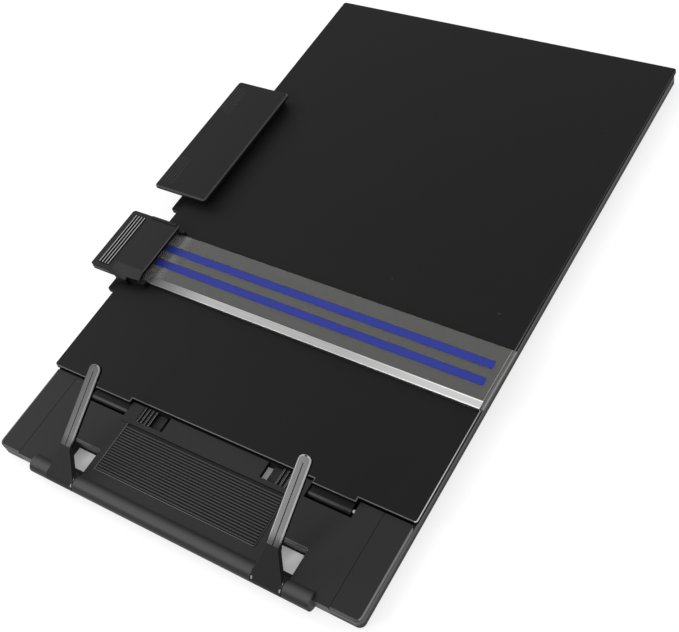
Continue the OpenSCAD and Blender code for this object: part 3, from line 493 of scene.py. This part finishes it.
# Painted highlights on the caps' rounded edges, brightest on the right cap's outer edge.
cap_rim_highlight = even_plastic("cap_rim_highlight", grey(0.055), 0.4, 0.3)
cap_side_highlight = even_plastic("cap_side_highlight", grey(0.17), 0.4, 0.3)
for node, name in (("wing_left", "left_end_cap"), ("wing_right", "right_end_cap")):
    cap = moulding(node, name, ledge_skin, cap_rim_highlight, cap_side_highlight, painted_shade_side)
    # Painted shade: the caps' upright faces are painted near black.
    paint_faces(cap, 3, lambda middle, normal: abs(normal.z) < 0.2)
    paint_faces(cap, 1, lambda middle, normal: slanting(normal))
    paint_faces(cap, 2, lambda middle, normal: slanting(normal) and middle.x > cap_side_x)
    smooth(cap, cap_smooth_limit)
    fit(cap, "base", "ledge_plastic", node)


# The tray: the lower shell of the base, a shallow moulded tub of the same black plastic.
# Its side band runs the whole length of the base, and its floor carries the rack. The band
# is painted a lighter grey as painted light, and darker towards the table as painted shadow.
tray_lit_grey = (0.07, 0.07, 0.071, 1)
tray_lit_bloom = (0.085, 0.085, 0.086, 1)
tray_low_black = grey(0.012)
tray_shadow_z = (5.5, 3.5)
tray_skin_w = 0.4
tray_lip_w = 6
# Painted light: the outer faces are a lighter grey than the plastic's black.
tray_skin = plastic("tray_skin", tray_lit_grey, tray_lit_bloom, 0.5, 0.15, grain=1800)
# Painted shadow: the band darkens towards the table.
fade(tray_skin, "Z", *tray_shadow_z, tray_low_black)
tray_inside = even_plastic("tray_inside", tray_low_black, 0.6, 0.1)
tray = moulding("base_tray", "tray_shell", tray_skin, tray_inside)
tray_low, tray_high = box_of("base_tray")
paint_faces(tray, 1, lambda middle, normal: upward(normal) or not (
    middle.x > tray_high.x - tray_skin_w or middle.x < tray_low.x + tray_lip_w
    or middle.y > tray_high.y - tray_skin_w or middle.y < tray_low.y + tray_lip_w))
smooth(tray)
fit(tray, "base", "base_plastic", "base_tray")


# The grip pad: a soft black sheet let into the ledge, with fine ribs across it
# and a thin raised border, which keeps a page's lower edge from slipping.
pad_x = (65.62, 172.38)
pad_y = (-44.48, -13.52)
pad_low_z = 8.2
pad_sheet_z = 8.75
pad_top_z = 9.35
pad_sink = 0.05
pad_edge_round = 0.1
rib_count = 18
rib_pitch = 1.6
rib_front_set = 1.45
rib_end_set = 0.9
rib_w = 0.85
rib_round = 0.18
border_w = 0.55
border_round = 0.12
edge_slack = 0.1
pad_dark = (0.012, 0.012, 0.0122, 1)
pad_lit_grey = (0.042, 0.042, 0.043, 1)


def block(name, x, y, z, *paints):
    deselect()
    low, high = at(x[0], y[0], z[0]), at(x[1], y[1], z[1])
    bpy.ops.mesh.primitive_cube_add(size=1, location=(low + high) / 2)
    piece = bpy.context.active_object
    piece.name = name
    piece.data.name = name
    piece.scale = high - low
    bpy.ops.object.transform_apply(location=True, rotation=True, scale=True)
    for paint in paints:
        piece.data.materials.append(paint)
    return piece


def above(height, first, second):
    return min(first.z, second.z) > height - edge_slack


def join(first, others):
    deselect()
    for piece in others:
        piece.select_set(True)
    first.select_set(True)
    bpy.context.view_layer.objects.active = first
    bpy.ops.object.join()
    return first


# Painted shade: the sheet between the ribs is darker than the rib tops.
pad_skin = even_plastic("pad_skin", pad_dark, 0.6, 0.1)
# Painted light on the rib tops and the right border's top.
raised_top_light = plastic("raised_top_light", pad_lit_grey, pad_lit_grey, 0.5, 0.2, depth=0.01)
# Painted highlight on the tops of the left and front borders.
pad_rim_highlight = even_plastic("pad_rim_highlight", grey(0.07), 0.4, 0.4)
pad_paints = (pad_skin, raised_top_light, pad_rim_highlight)
pad = block("ribbed_pad", pad_x, pad_y, (pad_low_z, pad_sheet_z), *pad_paints)
pick_edges(pad, lambda a, b: above(pad_sheet_z, a, b))
bevel_picked(pad_edge_round, steps=1)
rib_x = (pad_x[0] + rib_end_set, pad_x[1] - rib_end_set)
rib_y = (pad_y[0] + rib_front_set - rib_w / 2, pad_y[0] + rib_front_set + rib_w / 2)
raised_z = (pad_sheet_z - pad_sink, pad_top_z)
rib = block("pad_rib", rib_x, rib_y, raised_z, *pad_paints)
pick_edges(rib, lambda a, b: above(pad_top_z, a, b) and abs(a.y - b.y) < edge_slack)
bevel_picked(rib_round)
paint_faces(rib, 1, lambda middle, normal: upward(normal))
make_active(rib)
rows = rib.modifiers.new("rib_rows", "ARRAY")
rows.count = rib_count
rows.use_relative_offset = False
rows.use_constant_offset = True
rows.constant_offset_displace = (0, rib_pitch * MM, 0)
bpy.ops.object.modifier_apply(modifier="rib_rows")
left_border_x = (pad_x[0], pad_x[0] + border_w)
right_border_x = (pad_x[1] - border_w, pad_x[1])
front_border_x = (pad_x[0] + border_w, pad_x[1] - border_w)
front_border_y = (pad_y[0], pad_y[0] + border_w)
pad_raised = [rib]
for x, y, slot in ((left_border_x, pad_y, 2), (right_border_x, pad_y, 1),
                   (front_border_x, front_border_y, 2)):
    border = block("pad_border", x, y, raised_z, *pad_paints)
    pick_edges(border, lambda a, b: above(pad_top_z, a, b))
    bevel_picked(border_round)
    paint_faces(border, slot, lambda middle, normal: normal.z > 0.3)
    pad_raised.append(border)
pad = join(pad, pad_raised)
smooth(pad)
fit(pad, "base", "pad_rubber", "grip_pad")


# The hinge block between the knuckles holds the inner ends of the two hinge pins,
# and its two recesses guide the ribbed thumb slides. It is clipped into the ledge.
block_worn_y = -12.8
block_top_drop = 0.5
block_edge_round = 0.15
thumb_rib_drop = 1.2
thumb_edge_round = 0.22
black_dark = (0.006, 0.006, 0.0062, 1)
black_light = (0.0095, 0.0095, 0.01, 1)
# Plain black plastic, also used as painted shade on the sides and undersides of lighter parts.
black_and_shade_skin = plastic("black_and_shade_skin", black_dark, black_light, 0.5, 0.08, depth=0.015)
# Painted highlight on the rounded top edges of the thumb slides' ribs.
thumb_rim_highlight = even_plastic("thumb_rim_highlight", grey(0.2), 0.4, 0.4)
housing = moulding("hinge_block", "hinge_housing", ledge_skin, black_and_shade_skin)
# Painted shade: the block's sides and recess floors are black below its ledge-grey top.
paint_faces(housing, 1, lambda middle, normal: not upward(normal)
            or middle.z < ledge_z - block_top_drop)
pick_top_edges(housing, ledge_z, lambda middle: middle.y > block_worn_y)
bevel_picked(block_edge_round, slot=0)
smooth(housing)
fit(housing, "base", "dark_plastic", "hinge_block")
for side in ("left", "right"):
    thumb = moulding("latch_" + side, side + "_thumb_slide", black_and_shade_skin, thumb_rim_highlight, ledge_skin)
    thumb_top_z = box_of("latch_" + side)[1].z
    paint_faces(thumb, 2, lambda middle, normal: upward(normal)
                and middle.z < thumb_top_z - thumb_rib_drop)
    pick_top_edges(thumb, thumb_top_z)
    bevel_picked(thumb_edge_round, slot=1)
    smooth(thumb)
    fit(thumb, "latch_" + side, "dark_plastic", "latch_" + side)


# Steel: bright drawn rods and axles with a fine brushed grain along X, springs wound from
# finer wire, and the screws. The hinge pins are painted paler and less metallic, a painted
# highlight for the glint on their bare ends.
steel_dark = (0.5, 0.5, 0.51, 1)
steel_light = (0.78, 0.78, 0.79, 1)
wire_dark = (0.35, 0.35, 0.36, 1)
wire_light = (0.6, 0.6, 0.61, 1)
along_rod = (1, 30, 30)
along_wire = (20, 20, 20)
glint_pin_metallic = 0.3
brushed_less = 0.08
brushed_more = 0.1


def metal(name, dark, light, roughness, stretch, metallic=1):
    paint = bpy.data.materials.new(name)
    paint.use_nodes = True
    tree = paint.node_tree
    tree.nodes["Principled BSDF"].inputs["Metallic"].default_value = metallic
    place = tree.nodes.new("ShaderNodeTexCoord")
    turn = tree.nodes.new("ShaderNodeMapping")
    turn.inputs["Scale"].default_value = stretch
    grain = tree.nodes.new("ShaderNodeTexNoise")
    grain.inputs["Scale"].default_value = 60
    grain.inputs["Detail"].default_value = 5
    tree.links.new(place.outputs["Object"], turn.inputs["Vector"])
    tree.links.new(turn.outputs["Vector"], grain.inputs["Vector"])
    show_colour(paint, blend_colours(tree, grain.outputs["Fac"], dark, light))
    vary_roughness(paint, grain.outputs["Fac"], roughness - brushed_less, roughness + brushed_more)
    return paint


def repaint(paint, *names):
    for node in names:
        nodes[node].data.materials.clear()
        nodes[node].data.materials.append(paint)


bright_steel = metal("bright_steel", steel_dark, steel_light, 0.25, along_rod)
spring_wire = metal("spring_wire", wire_dark, wire_light, 0.3, along_wire)
# Painted highlight: the hinge pins are paler and less metallic than the steel.
pale_glint_pin = metal("pale_glint_pin", grey(0.8), grey(0.95), 0.4, along_rod, glint_pin_metallic)
repaint(pale_glint_pin, "hinge_pin_left", "hinge_pin_right")
repaint(bright_steel, "page_holder_rod", "prop_axle", "clip_pin", "guide_pin", "base_screws")
repaint(spring_wire, "clip_spring", "guide_spring", "latch_spring_left", "latch_spring_right")


# The page holders' brackets: black mouldings, each with a hub that turns on the rod in
# the roll between two dark nylon washers. Painted highlights stand in for glints on the
# hubs' rims and line the rounded edges. The left bracket is painted lighter than the
# right one, as painted light.
holder_places = {"left": 51.8, "right": 188.2}
hub_half_w = 8.8
roll_y = -54.7
roll_z = 6
bracket_round = 0.4
bracket_round_angle = 40
glint_y = -56.7
glint_l = 4.2
glint_w = 0.9
glint_from = hub_half_w - glint_w
washer_black = grey(0.004)
# Painted light: the left bracket is lighter than the right one.
bracket_blacks_by_light = {"left": (0.017, 0.017, 0.0173, 1), "right": (0.011, 0.011, 0.0113, 1)}
bracket_bloom = (0.014, 0.014, 0.0143, 1)
bracket_rim_highlight = even_plastic("bracket_rim_highlight", grey(0.06), 0.45, 0.3)
washer_skin = even_plastic("washer_skin", washer_black, 0.6, 0.1)
hub_glint = even_plastic("hub_glint", grey(0.27), 0.35, 0.4)
repaint(washer_skin, "friction_washers")


def soften(piece, width, angle, slot=-1):
    make_active(piece)
    edge_round = piece.modifiers.new("edge_round", "BEVEL")
    edge_round.width = width * MM
    edge_round.segments = 2
    edge_round.limit_method = "ANGLE"
    edge_round.angle_limit = math.radians(angle)
    edge_round.material = slot
    bpy.ops.object.modifier_apply(modifier="edge_round")


def cut_picked(place, normal):
    bpy.ops.mesh.bisect(plane_co=place, plane_no=normal)
    bpy.ops.object.mode_set(mode="OBJECT")


for side, holder_x in holder_places.items():
    bracket_skin = plastic(side + "_bracket_skin", bracket_blacks_by_light[side], bracket_bloom, 0.5, 0.1,
                           depth=0.015)
    bracket = moulding("prong_bracket_" + side, side + "_bracket", bracket_skin, bracket_rim_highlight, hub_glint)
    soften(bracket, bracket_round, bracket_round_angle, slot=1)
    for cut_x in (holder_x - glint_from, holder_x + glint_from):
        pick_faces(bracket, lambda middle, normal: middle.y < roll_y and normal.z > 0)
        cut_picked(at(cut_x, 0, 0), (1, 0, 0))
    # Painted highlight: pale glint spots on the hub rims, on the left hub at its right end only.
    paint_faces(bracket, 2, lambda middle, normal: normal.z > 0 and middle.z > roll_z
                and abs(middle.y - glint_y) < glint_l / 2 and abs(middle.x - holder_x) > glint_from
                and (side == "right" or middle.x > holder_x))
    smooth(bracket)
    fit(bracket, "holder_" + side, "dark_plastic", "prong_bracket_" + side)


# The page holders' arms: flat satin grey bars with clipped far corners and a fine groove
# down the middle. Each is pushed on its bracket's tongue, and its flanks are black.
arm_l = 45.9
arm_w = 7.4
arm_t = 2.4
arm_offset = 2
arm_angle = 27.2
elbow_y = -43.12
elbow_z = 20.906
arm_tip_cut = 2.9
arm_edge_round = 0.7
arm_fade_y = (elbow_y + 6, elbow_y + 0.5)
groove_w = 0.5
groove_depth = 0.35
groove_end_y = arm_l - 4
groove_start_y = 0.5
left_rim_x = -1
# Painted shade: the left arm is darker than the right one.
arm_greys_by_light = {"left": (grey(0.06), grey(0.11)), "right": (grey(0.13), grey(0.18))}
# Painted highlights on the arms' rounded rims.
arm_rim_highlights = {"left": grey(0.3), "right": grey(0.42)}
# Painted shade in the middle grooves.
groove_shades = {"left": grey(0.05), "right": black_light}
arm_flank = plastic("arm_flank", washer_black, black_dark, 0.6, 0.04, dust=0)


def raise_picked(height):
    bpy.ops.mesh.extrude_region_move(TRANSFORM_OT_translate={"value": (0, 0, height * MM)})
    bpy.ops.object.mode_set(mode="OBJECT")


def turn_about(piece, pivot, axis, angle, landing):
    turn = Matrix.Rotation(math.radians(angle), 4, axis)
    piece.data.transform(Matrix.Translation(landing) @ turn @ Matrix.Translation(-pivot))


for side, holder_x in holder_places.items():
    arm_top = plastic(side + "_arm_top", *arm_greys_by_light[side], 0.38, 0.4, grain=900, dust=0)
    arm_rim = even_plastic(side + "_arm_rim", arm_rim_highlights[side], 0.3, 0.5)
    groove_shade_paint = even_plastic(side + "_groove", groove_shades[side], 0.6, 0.1)
    for paint in (arm_top, arm_rim):
        fade(paint, "Y", *arm_fade_y, bracket_bloom)
    arm = block(side + "_arm", (-arm_w / 2, arm_w / 2), (0, arm_l), (-arm_t, 0),
                arm_top, arm_flank, arm_rim, groove_shade_paint)
    pick_edges(arm, lambda a, b: min(a.y, b.y) > arm_l - edge_slack and abs(a.z - b.z) > edge_slack)
    bevel_picked(arm_tip_cut, steps=3)
    paint_faces(arm, 1, lambda middle, normal: not upward(normal))
    pick_edges(arm, lambda a, b: above(0, a, b) and max(a.y, b.y) > edge_slack)
    bevel_picked(arm_edge_round, slot=2)
    # The left arm's left rim gets no painted highlight.
    if side == "left":
        paint_faces(arm, 0, lambda middle, normal: slanting(normal) and middle.x < left_rim_x)
    for cut_x in (-groove_w / 2, groove_w / 2):
        pick_faces(arm, lambda middle, normal: level(normal))
        cut_picked(at(cut_x, 0, 0), (1, 0, 0))
    pick_faces(arm, lambda middle, normal: level(normal))
    cut_picked(at(0, groove_end_y, 0), (0, 1, 0))
    pick_faces(arm, lambda middle, normal: level(normal) and abs(middle.x) < groove_w / 2
               and middle.y < groove_end_y)
    raise_picked(-groove_depth)
    paint_faces(arm, 3, lambda middle, normal: abs(middle.x) < groove_w / 2 + level_slack
                and -arm_t / 2 < middle.z < -level_slack and middle.y > groove_start_y
                and normal.y < 0.5)
    turn_about(arm, at(0, 0, 0), "X", arm_angle, at(holder_x - arm_offset, elbow_y, elbow_z))
    smooth(arm)
    fit(arm, "holder_" + side, "grey_plastic", "prong_arm_" + side)


# The side clip: a thin black plate that is pressed at its outer edge, over a runner
# that slides along the board's edge. Fine grooves at both ends of it give a grip.
clip_top_z = 18.2
clip_groove_z = (17.8, 18.1)
clip_dip_z = (17.6, 17.8)
clip_border_w = 1.5
cover_edge_round = 0.3
clip_black = (0.011, 0.011, 0.0115, 1)
clip_bloom = (0.0135, 0.0135, 0.014, 1)
clip_skin = plastic("clip_skin", clip_black, clip_bloom, 0.5, 0.1, grain=1800, depth=0.03)
# Painted highlights: paler rounded outer edges, shoulder faces and groove floors.
clip_rim_highlight = even_plastic("clip_rim_highlight", grey(0.07), 0.4, 0.3)
groove_highlight = even_plastic("groove_highlight", grey(0.09), 0.4, 0.3)
clip = moulding("clip_plate", "side_clip", clip_skin, black_and_shade_skin, clip_rim_highlight, groove_highlight)
clip_low, clip_high = box_of("clip_plate")
# Painted shade on the plate's sides and underside.
paint_faces(clip, 1, lambda middle, normal: not upward(normal))
paint_faces(clip, 3, lambda middle, normal: nearly_level(normal)
            and clip_groove_z[0] < middle.z < clip_groove_z[1])
paint_faces(clip, 2, lambda middle, normal: nearly_level(normal)
            and clip_dip_z[0] < middle.z < clip_dip_z[1])
pick_top_edges(clip, clip_top_z, lambda middle: middle.x > clip_high.x - clip_border_w
               or middle.x < clip_low.x + clip_border_w or middle.y < clip_low.y + clip_border_w)
bevel_picked(cover_edge_round, slot=2)
smooth(clip)
fit(clip, "clip", "ledge_plastic", "clip_plate")


# The line guide's head: a thicker black moulding with four raised ribs at its outer
# edge and a ramp at its front. The clear ruler's root is held in a slot under it,
# between two cheeks.
head_low, head_high = box_of("guide_head")
head_rib_h = 0.5
head_ribs_w = 13
ramp_l = 9
head_deck_z = head_high.z - head_rib_h
head_ribs_x = head_low.x + head_ribs_w
ramp_back_y = head_low.y + ramp_l
ramp_slope = (0.7, 0.995)
gap_x = (-17.4, -8.5)
gap_y = (69, 106.8)
root_x = 15
head_front_w = 0.95
head_skin = plastic("head_skin", clip_bloom, ledge_black, 0.5, 0.1, grain=1800, depth=0.03)
# Painted highlight on the head's inner and front rounded edges.
head_rim_highlight = even_plastic("head_rim_highlight", grey(0.1), 0.4, 0.3)
# Painted highlight on the rib tops.
head_rib = even_plastic("head_rib", grey(0.34), 0.4, 0.4)
# Painted light: the ramp is a little paler than the deck.
ramp_painted_light = even_plastic("ramp_painted_light", (0.021, 0.021, 0.0212, 1), 0.45, 0.15)
head = moulding("guide_head", "guide_head_shell", head_skin, black_and_shade_skin, head_rim_highlight, head_rib, ramp_painted_light)
# Painted shade on the head's sides and underside.
paint_faces(head, 1, lambda middle, normal: not upward(normal))
paint_faces(head, 4, lambda middle, normal: ramp_slope[0] < normal.z < ramp_slope[1]
            and middle.y < ramp_back_y)
pick_top_edges(head, head_high.z, lambda middle: middle.x < head_ribs_x)
bevel_picked(cover_edge_round, slot=1)
paint_faces(head, 3, lambda middle, normal: nearly_level(normal) and middle.x < head_ribs_x
            and middle.z > head_high.z - head_rib_h / 2)
for cut_at, cut_normal in ((at(gap_x[0], 0, 0), (1, 0, 0)), (at(gap_x[1], 0, 0), (1, 0, 0)),
                           (at(0, gap_y[0], 0), (0, 1, 0)), (at(0, gap_y[1], 0), (0, 1, 0))):
    pick_faces(head, lambda middle, normal: level(normal) and abs(middle.z - head_deck_z) < edge_slack)
    cut_picked(cut_at, cut_normal)
# Painted shade: the deck between the ribs is black.
paint_faces(head, 1, lambda middle, normal: level(normal) and gap_x[0] < middle.x < gap_x[1]
            and gap_y[0] < middle.y < gap_y[1] and middle.z < head_deck_z + edge_slack)
pick_top_edges(head, head_deck_z, lambda middle: middle.x > root_x
               or middle.y < head_low.y + head_front_w)
bevel_picked(cover_edge_round, slot=2)
smooth(head)
fit(head, "guide", "ledge_plastic", "guide_head")


# The runners: black lower jaws under the board's edge, with a fence beside the board
# and two ears for the pivot pin. Each carries the clip or the guide along the edge.
jaw_top_z = 8.1
jaw_outer_x = -0.5
for node, body in (("clip_runner", "clip_carriage"), ("guide_runner", "guide_carriage")):
    # Painted highlight on the jaw's rounded outer top edge.
    runner = moulding(node, node + "_jaw", black_and_shade_skin, clip_rim_highlight)
    pick_top_edges(runner, jaw_top_z, lambda middle: middle.x < jaw_outer_x)
    bevel_picked(cover_edge_round, slot=1)
    smooth(runner)
    fit(runner, body, "dark_plastic", node)


# The ruler: a bar of clear acrylic with a slight haze and a bevelled free end.
# It is pushed into the slot of the guide's head and hovers over the board, where the
# guide's play lets it hang a little low at its free end.
ruler_x = (4.5, 241.8)
ruler_y = (69.4, 108.1)
ruler_z = (11.4, 13)
ruler_end_round = 0.7
ruler_edge_round = 0.2
ruler_smooth_limit = 20
light_line_x = (239.1, 239.5)
lean_angle = -0.38
lean_x = 70
haze_grey = (0.45, 0.45, 0.43, 1)
root_painted_light = (0.97, 0.97, 0.95, 1)
root_light_x = (28, 18)


def lean(piece):
    pivot = at(lean_x, (ruler_y[0] + ruler_y[1]) / 2, 0)
    turn_about(piece, pivot, "Z", lean_angle, pivot)


acrylic = bpy.data.materials.new("clear_acrylic")
acrylic.use_nodes = True
acrylic_surface = acrylic.node_tree.nodes["Principled BSDF"]
acrylic_surface.inputs["Roughness"].default_value = 0.12
acrylic_surface.inputs["IOR"].default_value = 1.49
acrylic_surface.inputs["Transmission Weight"].default_value = 0.9
acrylic_skin = acrylic.node_tree.nodes.new("ShaderNodeGroup")
acrylic_skin.node_tree = moulded_skin
acrylic_skin.inputs["Dust"].default_value = 0.5
show_colour(acrylic, blend_colours(acrylic.node_tree, acrylic_skin.outputs["Specks"], haze_grey, grey(0.9)))
# Painted light: the ruler is paler near its root, offsetting the shade under the guide's head.
fade(acrylic, "X", *root_light_x, root_painted_light)
# Painted highlight on the free end's bevel and a thin line just inside it.
end_highlight = plastic("end_highlight", grey(0.2), grey(0.3), 0.3, 0.4, dust=0)
# Painted shade on the free end's upright face.
end_shade = plastic("end_shade", grey(0.03), grey(0.05), 0.4, 0.2, dust=0)
ruler = block("clear_ruler", ruler_x, ruler_y, ruler_z, acrylic, end_highlight, end_shade)
pick_edges(ruler, lambda a, b: above(ruler_z[1], a, b) and min(a.x, b.x) > ruler_x[1] - edge_slack)
bevel_picked(ruler_end_round, steps=1, slot=1)
pick_edges(ruler, lambda a, b: above(ruler_z[1], a, b) and abs(a.y - b.y) < edge_slack)
bevel_picked(ruler_edge_round)
paint_faces(ruler, 2, lambda middle, normal: normal.x > 0.9)
for cut_x in light_line_x:
    pick_faces(ruler, lambda middle, normal: level(normal))
    cut_picked(at(cut_x, 0, 0), (1, 0, 0))
paint_faces(ruler, 1, lambda middle, normal: level(normal)
            and light_line_x[0] < middle.x < light_line_x[1])
lean(ruler)
smooth(ruler, ruler_smooth_limit)
fit(ruler, "guide", "clear_plastic", "line_ruler")


# The strip: satin aluminium folded over the ruler's front edge and glued there, with
# its edges rolled and long fine brushing marks.
strip_x = (18.8, 239.8)
strip_y = (68.9, 74)
strip_z = (13, 13.5)
strip_rim_w = 0.9
strip_dip = 0.12
strip_edge_round = 0.18
along_strip = (0.6, 60, 60)
# Painted shade: the strip darkens towards the guide's head.
strip_shade_x = (70, 18)
# Painted highlight: the strip brightens towards its right end.
strip_highlight_x = (150, 235)
strip_metal = metal("strip_metal", grey(0.26), grey(0.6), 0.35, along_strip)
# Painted highlight: the rolled edges are paler than the dipped middle.
strip_rim_highlight = metal("strip_rim_highlight", grey(0.4), grey(0.65), 0.3, along_strip)
for paint, shine in ((strip_metal, 0.6), (strip_rim_highlight, 0.9)):
    fade(paint, "X", *strip_highlight_x, grey(shine))
    fade(paint, "X", *strip_shade_x, grey(0.13))
strip = block("metal_strip", strip_x, strip_y, strip_z, strip_metal, strip_rim_highlight)
for cut_y in (strip_y[0] + strip_rim_w, strip_y[1] - strip_rim_w):
    pick_faces(strip, lambda middle, normal: upward(normal))
    cut_picked(at(0, cut_y, 0), (0, 1, 0))
pick_faces(strip, lambda middle, normal: upward(normal)
           and strip_y[0] + strip_rim_w < middle.y < strip_y[1] - strip_rim_w)
raise_picked(-strip_dip)
paint_faces(strip, 1, lambda middle, normal: upward(normal) and middle.z > strip_z[1] - strip_dip / 2)
pick_faces(strip, lambda middle, normal: normal.z < -0.5)
cut_picked(at(0, ruler_y[0], 0), (0, 1, 0))
pick_faces(strip, lambda middle, normal: normal.z < -0.5 and middle.y < ruler_y[0])
raise_picked(ruler_z[0] - strip_z[0])
pick_edges(strip, lambda a, b: min(a.z, b.z) > strip_z[1] - strip_dip / 2)
bevel_picked(strip_edge_round)
lean(strip)
smooth(strip)
fit(strip, "guide", "strip_aluminium", "ruler_strip")


# The guide lines: two blue stripes printed on the ruler, with slightly rounded ends.
# They run from the guide's head almost to the ruler's free end.
line_x = (12.8, 234.6)
line_z = (13, 13.15)
line_shares = (0.336, 0.6215)
line_w = 4.9
line_end_round = 0.7
blue_dark = (0.024, 0.036, 0.24, 1)
blue_light = (0.032, 0.046, 0.3, 1)
line_blue = plastic("line_blue", blue_dark, blue_light, 0.4, 0.1, dust=0)
stripes = []
for share in line_shares:
    line_y = ruler_y[0] + share * (ruler_y[1] - ruler_y[0])
    stripe = block("guide_stripe", line_x, (line_y, line_y + line_w), line_z, line_blue)
    pick_edges(stripe, lambda a, b: abs(a.z - b.z) > edge_slack)
    bevel_picked(line_end_round, steps=3)
    stripes.append(stripe)
stripes = join(stripes[0], stripes[1:])
stripes.name = "guide_stripes"
lean(stripes)
fit(stripes, "guide", "line_ink", "ruler_lines")


# Under the board: the prop, a moulded black frame on its own axle, whose rubber shoe
# stands in the tray's rack, and the rubber feet that are pressed in under the tray.
prop_edge_round = 0.25
prop_round_angle = 50
rubber_dark = grey(0.01)
rubber_light = grey(0.018)
prop = moulding("prop_leg", "prop_frame", black_and_shade_skin)
soften(prop, prop_edge_round, prop_round_angle)
smooth(prop)
fit(prop, "prop", "dark_plastic", "prop_leg")
soft_rubber = plastic("soft_rubber", rubber_dark, rubber_light, 0.75, 0.3)
repaint(soft_rubber, "prop_shoe", "rubber_feet")
